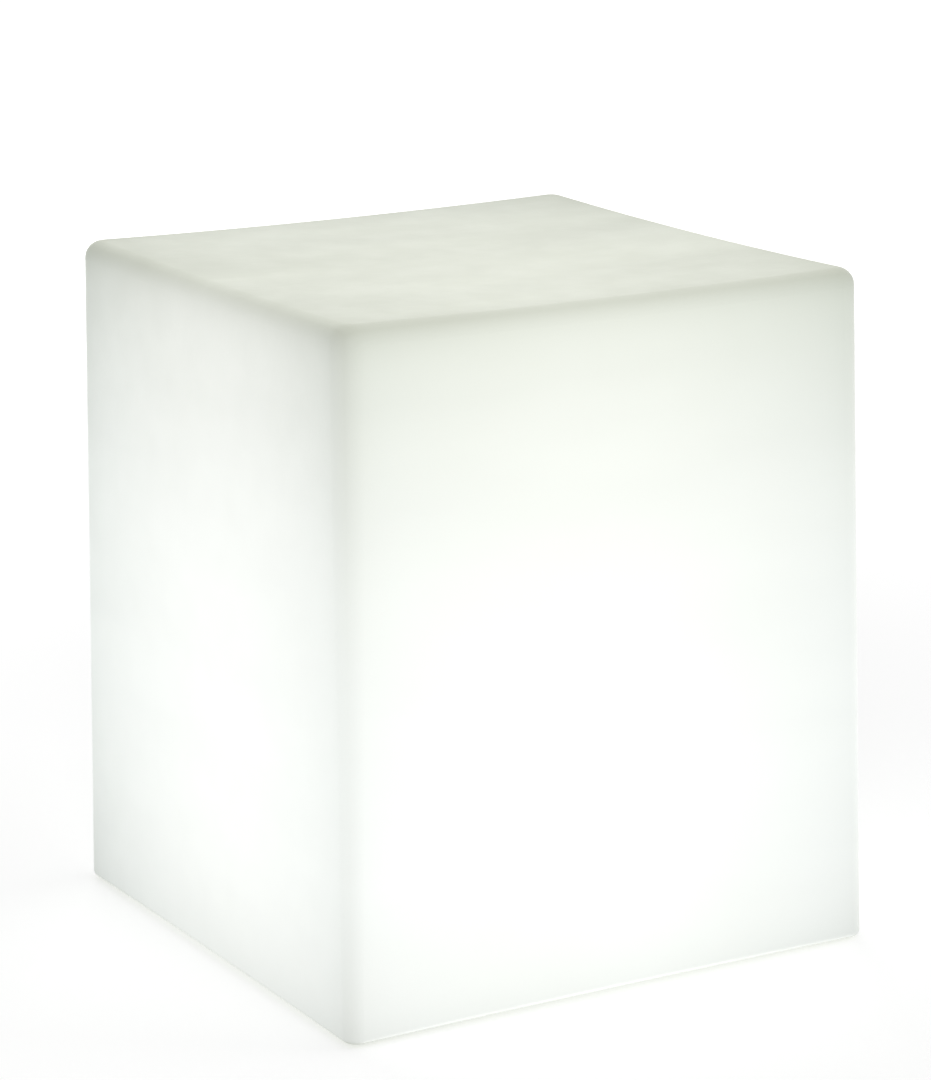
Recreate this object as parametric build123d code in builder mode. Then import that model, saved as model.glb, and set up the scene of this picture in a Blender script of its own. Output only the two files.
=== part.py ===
from build123d import *
from math import cos, radians, sqrt, tan
import os

os.makedirs("parts", exist_ok=True)

# Millimetres. The cube stands on its feet at Z = 0, with Z through its middle.

# The moulded cube
CUBE_SIDE = 400.0  # across two opposite walls, at the floor
CUBE_HEIGHT = 466.0  # from the floor to the top's corners
WALL = 4.0
DRAFT_ANGLE = 0.7  # how far each side wall leans in, in degrees
UPRIGHT_RADIUS_LOW = 10.0  # rounding of the four upright edges at the floor
UPRIGHT_RADIUS_HIGH = 16.0  # and at the top, where the edges are softer
CROWN_RADIUS = 12.0  # rounding round the top
RIM_RADIUS = 3.5  # rounding round the underside
TOP_DISH = 5.0  # the top's middle lies this much below its corners
BASE_DISH = 2.0  # and the underside's middle this much above its corners

# Feet
FOOT_PROUD = 2.0
FOOT_HEIGHT = 6.0
FOOT_RADIUS = 10.0
FOOT_SPACING = 320.0
FOOT_CLEARANCE = 0.3
FOOT_ROUNDING = 1.2

# Round opening in the underside, and the step that the light module seats in
OPENING_RADIUS = 80.0
SEAT_WIDTH = 24.0
SEAT_DEPTH = 12.0
STEP_ROUNDING = 2.0

# Screws that hold the module, and their moulded-in inserts
FIXING_COUNT = 6
BOSS_RADIUS = 7.0
BOSS_HEIGHT = 14.0
INSERT_RADIUS = 2.9
INSERT_LENGTH = 8.0
INSERT_CLEARANCE = 0.05
M4_RADIUS = 2.0
M4_LENGTH = 13.0
M4_HEAD_RADIUS = 4.0
M4_HEAD_HEIGHT = 2.7
M3_RADIUS = 1.5
M3_LENGTH = 10.0
M3_HEAD_RADIUS = 2.8
M3_HEAD_HEIGHT = 2.2
THREAD_CLEARANCE = 0.05
SCREW_HOLE_CLEARANCE = 0.25
HOLE_END_CLEARANCE = 1.5

# Module housing: a flange, a cup and a pocket for the controls
GASKET_THICKNESS = 2.0
GASKET_INSET = 1.5
FLANGE_THICKNESS = 4.0
FLANGE_CLEARANCE = 1.0
FLANGE_CHAMFER = 1.0
SCREW_SEAT_CLEARANCE = 0.8
SCREW_SEAT_DEPTH = 1.2
CUP_CLEARANCE = 1.5
CUP_DEPTH = 52.0
HOUSING_WALL = 2.5
HOUSING_FLOOR = 3.0
POCKET_LENGTH = 80.0
POCKET_WIDTH = 34.0
POCKET_DEPTH = 12.0
POCKET_CORNER = 6.0
POCKET_Y = -36.0
POCKET_ROUNDING = 1.5
PLATE_POST_COUNT = 6
PLATE_POST_RADIUS = 4.0
PLATE_POST_INSET = 6.0  # from the cup's bore to a post's axis
RIB_THICKNESS = 2.0
SMALL_POST_RADIUS = 3.0

# Heat plate, light board and dome
PLATE_THICKNESS = 2.5
PLATE_INSET = 0.5
BOARD_THICKNESS = 1.6
LED_BOARD_CLEARANCE = 4.0
LED_SIZE = 5.0
LED_HEIGHT = 1.6
LED_INNER_RADIUS = 20.0
LED_INNER_COUNT = 6
LED_OUTER_INSET = 10.0  # from the board screws' circle
LED_OUTER_COUNT = 12
BOARD_SCREW_COUNT = 3
BOARD_SCREW_INSET = 6.0
BOARD_SCREW_LENGTH = 4.0
DOME_GASKET_THICKNESS = 1.5
DOME_GASKET_INSET = 1.0
DOME_FLANGE_THICKNESS = 2.5
DOME_FLANGE_WIDTH = 16.0
DOME_RISE = 36.0
DOME_WALL = 2.0

# Battery pack
CELL_COUNT = 3
CELL_RADIUS = 9.2
CELL_LENGTH = 65.0
CELL_TERMINAL_RADIUS = 3.0
CELL_TERMINAL_HEIGHT = 0.8
CELL_GAP = 0.4
CELL_CLEARANCE = 0.2
BATTERY_Y = 23.0
CRADLE_LENGTH = 58.0
CRADLE_FLOOR = 2.0
CRADLE_WALL = 2.0
CRADLE_HEIGHT = 9.0
CRADLE_CLEARANCE = 0.5
LINK_THICKNESS = 0.4
LINK_WIDTH = 8.0
CLAMP_WIDTH = 12.0
CLAMP_THICKNESS = 2.0
CLAMP_CLEARANCE = 0.3

# Control board over the pocket
BOARD_LENGTH = 84.0
BOARD_WIDTH = 34.0
BOARD_POST_HEIGHT = 10.0
BOARD_POST_SPACING_X = 74.0
BOARD_POST_SPACING_Y = 26.0
BOARD_CORNER = 2.0
CHIP_SIZES = ((0.0, 4.0, 9.0, 9.0, 1.6), (-26.0, 3.0, 6.0, 5.0, 1.5), (30.0, 4.0, 8.0, 8.0, 4.0))
PLUG_LENGTH = 8.0
PLUG_WIDTH = 6.0
PLUG_HEIGHT = 7.0
LED_PLUG_X = -12.0
BATTERY_PLUG_X = 14.0
PLUG_Y = -8.0
LEAD_RADIUS = 1.6
GROMMET_WALL = 1.6
GROMMET_LIP = 1.2
LEAD_CLEARANCE = 0.2
LEAD_STEP_X = 8.0  # sideways, from the plug to the grommet
LEAD_STEP_Y = 5.0
LEAD_EXIT = 8.0  # straight length on leaving a plug or a link
LEAD_BEND = 5.0

# Push switch
SWITCH_X = -24.0
SWITCH_NOSE_RADIUS = 9.5
SWITCH_NOSE_HEIGHT = 2.0
SWITCH_BARREL_RADIUS = 7.5
SWITCH_BARREL_HEIGHT = 11.0
SWITCH_LIP = 0.8
SWITCH_NUT_RADIUS = 9.5
SWITCH_NUT_HEIGHT = 2.5
BUTTON_RADIUS = 5.0
BUTTON_PROUD = 2.5
BUTTON_TRAVEL = 1.5
BUTTON_COLLAR_RADIUS = 5.8
BUTTON_COLLAR_HEIGHT = 1.5
BUTTON_SPIGOT_RADIUS = 3.0
BUTTON_SPIGOT_HEIGHT = 4.0
BUTTON_CLEARANCE = 0.08
SPRING_WIRE_RADIUS = 0.3
SPRING_RADIUS = 4.6
SPRING_TURNS = 4.0
SPRING_WIRE_SIDES = 8

# Charging socket and its cap
SOCKET_X = 14.0
SOCKET_NOSE_RADIUS = 6.0
SOCKET_NOSE_HEIGHT = 1.5
SOCKET_BARREL_RADIUS = 4.5
SOCKET_BARREL_HEIGHT = 11.0
SOCKET_NUT_RADIUS = 6.5
SOCKET_NUT_HEIGHT = 2.0
SOCKET_BORE_RADIUS = 2.9
SOCKET_BORE_DEPTH = 9.5
SOCKET_PIN_RADIUS = 1.0
SOCKET_PIN_INSET = 2.0
PANEL_CLEARANCE = 0.1
CAP_THICKNESS = 2.2
CAP_WALL = 1.8
CAP_CLEARANCE = 0.5
CAP_GAP = 0.3
CAP_NUB_HEIGHT = 1.0
CAP_WIDTH = 10.0
CAP_TAB_LENGTH = 3.0
CAP_TAB_WIDTH = 6.0
HINGE_REACH = 16.0
HINGE_PIN_RADIUS = 0.8
HINGE_RUNNING_CLEARANCE = 0.06
KNUCKLE_RADIUS = 2.2
KNUCKLE_GAP = 0.3
EAR_THICKNESS = 2.5

# Charge lamp and breather
LAMP_X = -5.0
LAMP_RADIUS = 2.0
LAMP_HEAD_RADIUS = 3.2
LAMP_HEAD_HEIGHT = 1.0
LAMP_GAP = 0.5
LAMP_CHIP_SIZE = 2.0
LAMP_CHIP_HEIGHT = 0.8
BREATHER_X = 56.0
BREATHER_Y = 18.0
BREATHER_RADIUS = 4.0
BREATHER_HEAD_RADIUS = 7.0
BREATHER_HEAD_HEIGHT = 2.0
BREATHER_BARB = 0.6
BREATHER_TAPER = 20.0

# Levels, from the floor up
seat_z = FOOT_PROUD + SEAT_DEPTH
flange_top = seat_z - GASKET_THICKNESS
flange_bottom = flange_top - FLANGE_THICKNESS
cup_floor = flange_bottom + HOUSING_FLOOR
cup_top = flange_top + CUP_DEPTH
pocket_roof = flange_bottom + POCKET_DEPTH
pocket_top = pocket_roof + HOUSING_WALL
control_board_z = pocket_top + BOARD_POST_HEIGHT
plate_top = cup_top + PLATE_THICKNESS
led_board_top = plate_top + BOARD_THICKNESS
dome_flange_z = plate_top + DOME_GASKET_THICKNESS
dome_flange_top = dome_flange_z + DOME_FLANGE_THICKNESS
cell_z = cup_floor + CRADLE_FLOOR + CELL_CLEARANCE + CELL_RADIUS
clamp_z = cell_z + CELL_RADIUS + CLAMP_CLEARANCE
socket_face = pocket_roof - SOCKET_NOSE_HEIGHT
cap_top = socket_face - CAP_GAP
hinge_z = cap_top - CAP_THICKNESS / 2

# Sizes that follow from the ones above
seat_radius = OPENING_RADIUS + SEAT_WIDTH
fixing_circle = OPENING_RADIUS + SEAT_WIDTH / 2
cup_radius = OPENING_RADIUS - CUP_CLEARANCE
cup_bore = cup_radius - HOUSING_WALL
flange_radius = seat_radius - FLANGE_CLEARANCE
plate_post_circle = cup_bore - PLATE_POST_INSET
plate_radius = cup_radius - PLATE_INSET
dome_radius = plate_radius - DOME_FLANGE_WIDTH
led_board_radius = dome_radius - DOME_WALL - LED_BOARD_CLEARANCE
board_screw_circle = led_board_radius - BOARD_SCREW_INSET
led_outer_circle = board_screw_circle - LED_OUTER_INSET
m4_hole = M4_RADIUS + SCREW_HOLE_CLEARANCE
m3_hole = M3_RADIUS + SCREW_HOLE_CLEARANCE
m4_thread = M4_RADIUS + THREAD_CLEARANCE
m3_thread = M3_RADIUS + THREAD_CLEARANCE
insert_hole = INSERT_RADIUS + INSERT_CLEARANCE
cell_pitch = 2 * CELL_RADIUS + CELL_GAP
trough_radius = CELL_RADIUS + CELL_CLEARANCE
cradle_width = (CELL_COUNT - 1) * cell_pitch + 2 * (trough_radius + CRADLE_WALL)
clamp_post_y = cradle_width / 2 + CRADLE_CLEARANCE + SMALL_POST_RADIUS
hinge_x = SOCKET_X + HINGE_REACH
top_half_diagonal = (CUBE_SIDE - 2 * CUBE_HEIGHT * tan(radians(DRAFT_ANGLE))) / sqrt(2)
top_sphere = (top_half_diagonal**2 + TOP_DISH**2) / (2 * TOP_DISH)
base_half_diagonal = CUBE_SIDE / sqrt(2)
base_sphere = (base_half_diagonal**2 + BASE_DISH**2) / (2 * BASE_DISH)
dome_sphere = (dome_radius**2 + DOME_RISE**2) / (2 * DOME_RISE)


def circles_of(shape, radius):
    """The circular edges of one radius."""
    return shape.edges().filter_by(GeomType.CIRCLE).filter_by(lambda edge: abs(edge.radius - radius) < 0.01)


def moulded_form(inset):
    """The drafted block with its dished top and underside, inset from the outer skin."""
    low_side = CUBE_SIDE - 2 * inset / cos(radians(DRAFT_ANGLE))
    high_side = low_side - 2 * (CUBE_HEIGHT + TOP_DISH) * tan(radians(DRAFT_ANGLE))
    with BuildPart() as form:
        with BuildSketch():
            RectangleRounded(low_side, low_side, UPRIGHT_RADIUS_LOW - inset)
        with BuildSketch(Plane.XY.offset(CUBE_HEIGHT + TOP_DISH)):
            RectangleRounded(high_side, high_side, UPRIGHT_RADIUS_HIGH - inset)
        loft(ruled=True)
        with Locations((0, 0, CUBE_HEIGHT - TOP_DISH + top_sphere)):
            Sphere(top_sphere + inset, rotation=(90, 0, 0), mode=Mode.SUBTRACT)
        with Locations((0, 0, FOOT_PROUD + BASE_DISH - base_sphere)):
            Sphere(base_sphere + inset, rotation=(90, 0, 0), mode=Mode.SUBTRACT)
        dished = form.faces().filter_by(GeomType.SPHERE).sort_by(Axis.Z)
        fillet(dished[-1].edges(), CROWN_RADIUS - inset)
        dished = form.faces().filter_by(GeomType.SPHERE).sort_by(Axis.Z)
        fillet(dished[0].edges(), RIM_RADIUS)
    return form.part


def screw(radius, length, head_radius, head_height):
    """A pan-head screw: its head under Z = 0, its plain shank above."""
    with BuildPart() as body:
        with BuildSketch():
            Circle(head_radius)
        extrude(amount=-head_height)
        chamfer(body.edges().group_by(Axis.Z)[0], head_height / 3)
        with BuildSketch():
            Circle(radius)
        extrude(amount=length)
        chamfer(body.edges().group_by(Axis.Z)[-1], radius / 3)
    return body.part


def board_post_places():
    """The four posts of the control board, about its middle."""
    return GridLocations(BOARD_POST_SPACING_X, BOARD_POST_SPACING_Y, 2, 2)


def clamp_post_places():
    """The two posts of the battery clamp, about the pack's middle."""
    return GridLocations(0, 2 * clamp_post_y, 1, 2)


def pocket_mouth_edges(shape):
    """The edges where the control pocket opens in the underside."""
    underside = shape.faces().filter_by(Axis.Z).group_by(Axis.Z)[0].sort_by(SortBy.AREA)[-1]
    return underside.inner_wires()[0].edges()


def finish(piece, name):
    """Labels one piece and writes its STEP file."""
    piece.part.label = name
    export_step(piece.part, f"parts/{name}.step")


# ---------------------------------------------------------------- the cube
outer_form = moulded_form(0)
inner_form = moulded_form(WALL)

with BuildPart() as light_shell:
    add(outer_form)
    add(inner_form, mode=Mode.SUBTRACT)
    # The underside steps in round the module, and over each foot
    skin_z = FOOT_PROUD + BASE_DISH + WALL / 2
    with BuildSketch(Plane.XY.offset(skin_z)):
        Circle(seat_radius + WALL)
    extrude(amount=seat_z + WALL - skin_z)
    with BuildSketch(Plane.XY.offset(skin_z)):
        with GridLocations(FOOT_SPACING, FOOT_SPACING, 2, 2):
            Circle(FOOT_RADIUS + FOOT_CLEARANCE + WALL)
    extrude(amount=FOOT_HEIGHT + WALL - skin_z)
    with BuildSketch():
        Circle(seat_radius)
    extrude(amount=seat_z, mode=Mode.SUBTRACT)
    with BuildSketch():
        with GridLocations(FOOT_SPACING, FOOT_SPACING, 2, 2):
            Circle(FOOT_RADIUS + FOOT_CLEARANCE)
    extrude(amount=FOOT_HEIGHT, mode=Mode.SUBTRACT)
    # Bosses for the inserts
    with BuildSketch(Plane.XY.offset(seat_z)):
        with PolarLocations(fixing_circle, FIXING_COUNT):
            Circle(BOSS_RADIUS)
    extrude(amount=BOSS_HEIGHT)
    with BuildSketch(Plane.XY.offset(seat_z)):
        with PolarLocations(fixing_circle, FIXING_COUNT):
            Circle(insert_hole)
    extrude(amount=INSERT_LENGTH, mode=Mode.SUBTRACT)
    with BuildSketch(Plane.XY.offset(seat_z)):
        with PolarLocations(fixing_circle, FIXING_COUNT):
            Circle(m4_hole)
    screw_reach = M4_LENGTH - (FLANGE_THICKNESS - SCREW_SEAT_DEPTH) - GASKET_THICKNESS
    extrude(amount=screw_reach + HOLE_END_CLEARANCE, mode=Mode.SUBTRACT)
    with BuildSketch(Plane.XY.offset(seat_z)):
        Circle(OPENING_RADIUS)
    extrude(amount=WALL, mode=Mode.SUBTRACT)
    step_edge = circles_of(light_shell, seat_radius + WALL).sort_by(Axis.Z)[-1]
    mouth_edge = circles_of(light_shell, seat_radius).sort_by(Axis.Z)[0]
    fillet([step_edge, mouth_edge], STEP_ROUNDING)
finish(light_shell, "light_shell")

with BuildPart() as rubber_feet:
    with BuildSketch():
        with GridLocations(FOOT_SPACING, FOOT_SPACING, 2, 2):
            Circle(FOOT_RADIUS)
    extrude(amount=FOOT_HEIGHT)
    fillet(rubber_feet.edges().group_by(Axis.Z)[0], FOOT_ROUNDING)
finish(rubber_feet, "rubber_feet")

with BuildPart() as threaded_inserts:
    with BuildSketch(Plane.XY.offset(seat_z)):
        with PolarLocations(fixing_circle, FIXING_COUNT):
            Circle(INSERT_RADIUS)
            Circle(m4_thread, mode=Mode.SUBTRACT)
    extrude(amount=INSERT_LENGTH)
finish(threaded_inserts, "threaded_inserts")

# ---------------------------------------------------------------- the module's casing
with BuildPart() as module_gasket:
    with BuildSketch(Plane.XY.offset(flange_top)):
        Circle(flange_radius - GASKET_INSET)
        Circle(OPENING_RADIUS, mode=Mode.SUBTRACT)
        with PolarLocations(fixing_circle, FIXING_COUNT):
            Circle(insert_hole, mode=Mode.SUBTRACT)
    extrude(amount=GASKET_THICKNESS)
finish(module_gasket, "module_gasket")

with BuildPart() as module_housing:
    with BuildSketch(Plane.XY.offset(flange_bottom)):
        Circle(flange_radius)
    extrude(amount=FLANGE_THICKNESS)
    chamfer(module_housing.edges().group_by(Axis.Z)[0], FLANGE_CHAMFER)
    with BuildSketch(Plane.XY.offset(flange_bottom)):
        Circle(cup_radius)
    extrude(amount=cup_top - flange_bottom)
    with BuildSketch(Plane.XY.offset(cup_floor)):
        Circle(cup_bore)
    extrude(amount=cup_top - cup_floor, mode=Mode.SUBTRACT)
    # The control pocket stands up inside the cup and opens downwards
    with BuildSketch(Plane.XY.offset(flange_bottom)):
        with Locations((0, POCKET_Y)):
            RectangleRounded(
                POCKET_LENGTH + 2 * HOUSING_WALL, POCKET_WIDTH + 2 * HOUSING_WALL, POCKET_CORNER + HOUSING_WALL
            )
    extrude(amount=pocket_top - flange_bottom)
    with BuildSketch(Plane.XY.offset(flange_bottom)):
        with Locations((0, POCKET_Y)):
            RectangleRounded(POCKET_LENGTH, POCKET_WIDTH, POCKET_CORNER)
    extrude(amount=POCKET_DEPTH, mode=Mode.SUBTRACT)
    fillet(pocket_mouth_edges(module_housing), POCKET_ROUNDING)
    # Posts: six for the heat plate, tied to the wall by ribs, two for the clamp, four for the board
    with BuildSketch(Plane.XY.offset(cup_floor)):
        with PolarLocations(plate_post_circle, PLATE_POST_COUNT):
            Circle(PLATE_POST_RADIUS)
        with PolarLocations((plate_post_circle + cup_bore) / 2, PLATE_POST_COUNT):
            Rectangle(cup_bore - plate_post_circle + HOUSING_WALL, RIB_THICKNESS)
    extrude(amount=cup_top - cup_floor)
    with BuildSketch(Plane.XY.offset(cup_floor)):
        with Locations((0, BATTERY_Y)):
            with clamp_post_places():
                Circle(SMALL_POST_RADIUS)
    extrude(amount=clamp_z - cup_floor)
    with BuildSketch(Plane.XY.offset(pocket_top)):
        with Locations((0, POCKET_Y)):
            with board_post_places():
                Circle(SMALL_POST_RADIUS)
    extrude(amount=BOARD_POST_HEIGHT)
    # Ears that carry the socket cap's pin
    for side in (-1, 1):
        ear_y = POCKET_Y + side * (CAP_WIDTH / 2 + KNUCKLE_GAP + EAR_THICKNESS / 2)
        with BuildSketch(Plane.XZ.offset(-ear_y)):
            with Locations((hinge_x, hinge_z)):
                Circle(KNUCKLE_RADIUS)
            with Locations((hinge_x, (hinge_z + pocket_roof) / 2)):
                Rectangle(2 * KNUCKLE_RADIUS, pocket_roof - hinge_z)
            with Locations((hinge_x, hinge_z)):
                Circle(HINGE_PIN_RADIUS, mode=Mode.SUBTRACT)
        extrude(amount=EAR_THICKNESS / 2, both=True)
    # Holes
    with BuildSketch(Plane.XY.offset(flange_bottom)):
        with PolarLocations(fixing_circle, FIXING_COUNT):
            Circle(m4_hole)
    extrude(amount=FLANGE_THICKNESS, mode=Mode.SUBTRACT)
    with BuildSketch(Plane.XY.offset(flange_bottom)):
        with PolarLocations(fixing_circle, FIXING_COUNT):
            Circle(M4_HEAD_RADIUS + SCREW_SEAT_CLEARANCE)
    extrude(amount=SCREW_SEAT_DEPTH, mode=Mode.SUBTRACT)
    with BuildSketch(Plane.XY.offset(cup_top)):
        with PolarLocations(plate_post_circle, PLATE_POST_COUNT):
            Circle(m3_thread)
    plate_screw_reach = M3_LENGTH - (dome_flange_top - cup_top)
    extrude(amount=-(plate_screw_reach + HOLE_END_CLEARANCE), mode=Mode.SUBTRACT)
    with BuildSketch(Plane.XY.offset(clamp_z)):
        with Locations((0, BATTERY_Y)):
            with clamp_post_places():
                Circle(m3_thread)
    extrude(amount=-(M3_LENGTH - CLAMP_THICKNESS + HOLE_END_CLEARANCE), mode=Mode.SUBTRACT)
    with BuildSketch(Plane.XY.offset(control_board_z)):
        with Locations((0, POCKET_Y)):
            with board_post_places():
                Circle(m3_thread)
    extrude(amount=-(M3_LENGTH - BOARD_THICKNESS + HOLE_END_CLEARANCE), mode=Mode.SUBTRACT)
    with BuildSketch(Plane.XY.offset(pocket_roof)):
        with Locations((SWITCH_X, POCKET_Y)):
            Circle(SWITCH_BARREL_RADIUS + PANEL_CLEARANCE)
        with Locations((SOCKET_X, POCKET_Y)):
            Circle(SOCKET_BARREL_RADIUS + PANEL_CLEARANCE)
        with Locations((LAMP_X, POCKET_Y)):
            Circle(LAMP_RADIUS + PANEL_CLEARANCE)
    extrude(amount=HOUSING_WALL, mode=Mode.SUBTRACT)
    with BuildSketch(Plane.XY.offset(flange_bottom)):
        with Locations((BREATHER_X, BREATHER_Y)):
            Circle(BREATHER_RADIUS + PANEL_CLEARANCE)
    extrude(amount=HOUSING_FLOOR, mode=Mode.SUBTRACT)
finish(module_housing, "module_housing")

m4_screw = screw(M4_RADIUS, M4_LENGTH, M4_HEAD_RADIUS, M4_HEAD_HEIGHT)
m3_screw = screw(M3_RADIUS, M3_LENGTH, M3_HEAD_RADIUS, M3_HEAD_HEIGHT)
short_screw = screw(M3_RADIUS, BOARD_SCREW_LENGTH, M3_HEAD_RADIUS, M3_HEAD_HEIGHT)

with BuildPart() as module_screws:
    with Locations((0, 0, flange_bottom + SCREW_SEAT_DEPTH)):
        with PolarLocations(fixing_circle, FIXING_COUNT):
            add(m4_screw)
finish(module_screws, "module_screws")

with BuildPart() as breather_plug:
    with BuildSketch(Plane.XY.offset(flange_bottom)):
        with Locations((BREATHER_X, BREATHER_Y)):
            Circle(BREATHER_HEAD_RADIUS)
    extrude(amount=-BREATHER_HEAD_HEIGHT)
    chamfer(breather_plug.edges().group_by(Axis.Z)[0], BREATHER_HEAD_HEIGHT / 3)
    with BuildSketch(Plane.XY.offset(flange_bottom)):
        with Locations((BREATHER_X, BREATHER_Y)):
            Circle(BREATHER_RADIUS)
    extrude(amount=HOUSING_FLOOR)
    with BuildSketch(Plane.XY.offset(cup_floor)):
        with Locations((BREATHER_X, BREATHER_Y)):
            Circle(BREATHER_RADIUS + BREATHER_BARB)
    extrude(amount=BREATHER_HEAD_HEIGHT, taper=BREATHER_TAPER)
finish(breather_plug, "breather_plug")

# ---------------------------------------------------------------- light board under its dome
lead_x = LED_PLUG_X + LEAD_STEP_X
lead_y = POCKET_Y + PLUG_Y + LEAD_STEP_Y
grommet_hole = LEAD_RADIUS + LEAD_CLEARANCE + GROMMET_WALL

with BuildPart() as heat_plate:
    with BuildSketch(Plane.XY.offset(cup_top)):
        Circle(plate_radius)
        with PolarLocations(plate_post_circle, PLATE_POST_COUNT):
            Circle(m3_hole, mode=Mode.SUBTRACT)
        with PolarLocations(board_screw_circle, BOARD_SCREW_COUNT, start_angle=90):
            Circle(m3_thread, mode=Mode.SUBTRACT)
        with Locations((lead_x, lead_y)):
            Circle(grommet_hole, mode=Mode.SUBTRACT)
    extrude(amount=PLATE_THICKNESS)
finish(heat_plate, "heat_plate")

with BuildPart() as led_board:
    with BuildSketch(Plane.XY.offset(plate_top)):
        Circle(led_board_radius)
        with PolarLocations(board_screw_circle, BOARD_SCREW_COUNT, start_angle=90):
            Circle(m3_hole, mode=Mode.SUBTRACT)
        with Locations((lead_x, lead_y)):
            Circle(grommet_hole, mode=Mode.SUBTRACT)
    extrude(amount=BOARD_THICKNESS)
finish(led_board, "led_board")

with BuildPart() as led_chips:
    with BuildSketch(Plane.XY.offset(led_board_top)):
        with PolarLocations(LED_INNER_RADIUS, LED_INNER_COUNT):
            Rectangle(LED_SIZE, LED_SIZE)
        with PolarLocations(led_outer_circle, LED_OUTER_COUNT):
            Rectangle(LED_SIZE, LED_SIZE)
    extrude(amount=LED_HEIGHT)
finish(led_chips, "led_chips")

with BuildPart() as board_screws:
    with Locations((0, 0, led_board_top)):
        with PolarLocations(board_screw_circle, BOARD_SCREW_COUNT, start_angle=90):
            add(short_screw, rotation=(180, 0, 0))
finish(board_screws, "board_screws")

with BuildPart() as dome_gasket:
    with BuildSketch(Plane.XY.offset(plate_top)):
        Circle(plate_radius - DOME_GASKET_INSET)
        Circle(dome_radius, mode=Mode.SUBTRACT)
        with PolarLocations(plate_post_circle, PLATE_POST_COUNT):
            Circle(m3_hole, mode=Mode.SUBTRACT)
    extrude(amount=DOME_GASKET_THICKNESS)
finish(dome_gasket, "dome_gasket")

with BuildPart() as diffuser_dome:
    with BuildSketch(Plane.XY.offset(dome_flange_z)):
        Circle(plate_radius)
        Circle(dome_radius - DOME_WALL, mode=Mode.SUBTRACT)
        with PolarLocations(plate_post_circle, PLATE_POST_COUNT):
            Circle(m3_hole, mode=Mode.SUBTRACT)
    extrude(amount=DOME_FLANGE_THICKNESS)
    with BuildSketch(Plane.XZ):
        with BuildLine():
            outer_foot = (dome_radius, dome_flange_z)
            crown = (0, dome_flange_z + DOME_RISE)
            inner_crown = (0, dome_flange_z + DOME_RISE - DOME_WALL)
            inner_foot = (dome_radius - DOME_WALL, dome_flange_z)
            RadiusArc(outer_foot, crown, -dome_sphere)
            Line(crown, inner_crown)
            RadiusArc(inner_crown, inner_foot, dome_sphere)
            Line(inner_foot, outer_foot)
        make_face()
    revolve(axis=Axis.Z)
finish(diffuser_dome, "diffuser_dome")

with BuildPart() as dome_screws:
    with Locations((0, 0, dome_flange_top)):
        with PolarLocations(plate_post_circle, PLATE_POST_COUNT):
            add(m3_screw, rotation=(180, 0, 0))
finish(dome_screws, "dome_screws")

# ---------------------------------------------------------------- battery pack
with BuildPart() as battery_cells:
    with BuildSketch(Plane.YZ.offset(-CELL_LENGTH / 2)):
        with Locations((BATTERY_Y, cell_z)):
            with GridLocations(cell_pitch, 0, CELL_COUNT, 1):
                Circle(CELL_RADIUS)
    extrude(amount=CELL_LENGTH)
    chamfer(battery_cells.edges().filter_by(GeomType.CIRCLE), CELL_TERMINAL_HEIGHT)
    with BuildSketch(Plane.YZ.offset(CELL_LENGTH / 2)):
        with Locations((BATTERY_Y, cell_z)):
            with GridLocations(cell_pitch, 0, CELL_COUNT, 1):
                Circle(CELL_TERMINAL_RADIUS)
    extrude(amount=CELL_TERMINAL_HEIGHT)
finish(battery_cells, "battery_cells")

link_length = (CELL_COUNT - 1) * cell_pitch + LINK_WIDTH
link_x = CELL_LENGTH / 2 + CELL_TERMINAL_HEIGHT

with BuildPart() as cell_links:
    for link_plane in (Plane.YZ.offset(link_x), Plane.YZ.offset(-CELL_LENGTH / 2 - LINK_THICKNESS)):
        with BuildSketch(link_plane):
            with Locations((BATTERY_Y, cell_z)):
                SlotOverall(link_length, LINK_WIDTH)
        extrude(amount=LINK_THICKNESS)
finish(cell_links, "cell_links")

with BuildPart() as battery_cradle:
    with BuildSketch(Plane.YZ.offset(-CRADLE_LENGTH / 2)):
        with Locations((BATTERY_Y, cup_floor + CRADLE_HEIGHT / 2)):
            Rectangle(cradle_width, CRADLE_HEIGHT)
        with Locations((BATTERY_Y, cell_z)):
            with GridLocations(cell_pitch, 0, CELL_COUNT, 1):
                Circle(trough_radius, mode=Mode.SUBTRACT)
    extrude(amount=CRADLE_LENGTH)
finish(battery_cradle, "battery_cradle")

with BuildPart() as battery_clamp:
    with BuildSketch(Plane.XY.offset(clamp_z)):
        with Locations((0, BATTERY_Y)):
            SlotCenterToCenter(2 * clamp_post_y, CLAMP_WIDTH, rotation=90)
            with clamp_post_places():
                Circle(m3_hole, mode=Mode.SUBTRACT)
    extrude(amount=CLAMP_THICKNESS)
finish(battery_clamp, "battery_clamp")

with BuildPart() as clamp_screws:
    with Locations((0, BATTERY_Y, clamp_z + CLAMP_THICKNESS)):
        with clamp_post_places():
            add(m3_screw, rotation=(180, 0, 0))
finish(clamp_screws, "clamp_screws")

# ---------------------------------------------------------------- control board
control_board_top = control_board_z + BOARD_THICKNESS

with BuildPart() as control_board:
    with BuildSketch(Plane.XY.offset(control_board_z)):
        with Locations((0, POCKET_Y)):
            RectangleRounded(BOARD_LENGTH, BOARD_WIDTH, BOARD_CORNER)
            with board_post_places():
                Circle(m3_hole, mode=Mode.SUBTRACT)
    extrude(amount=BOARD_THICKNESS)
finish(control_board, "control_board")

with BuildPart() as control_chips:
    for chip_x, chip_y, length, width, height in CHIP_SIZES:
        with BuildSketch(Plane.XY.offset(control_board_top)):
            with Locations((chip_x, POCKET_Y + chip_y)):
                Rectangle(length, width)
        extrude(amount=height)
    with BuildSketch(Plane.XY.offset(control_board_z)):
        with Locations((LAMP_X, POCKET_Y)):
            Rectangle(LAMP_CHIP_SIZE, LAMP_CHIP_SIZE)
    extrude(amount=-LAMP_CHIP_HEIGHT)
finish(control_chips, "control_chips")

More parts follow.
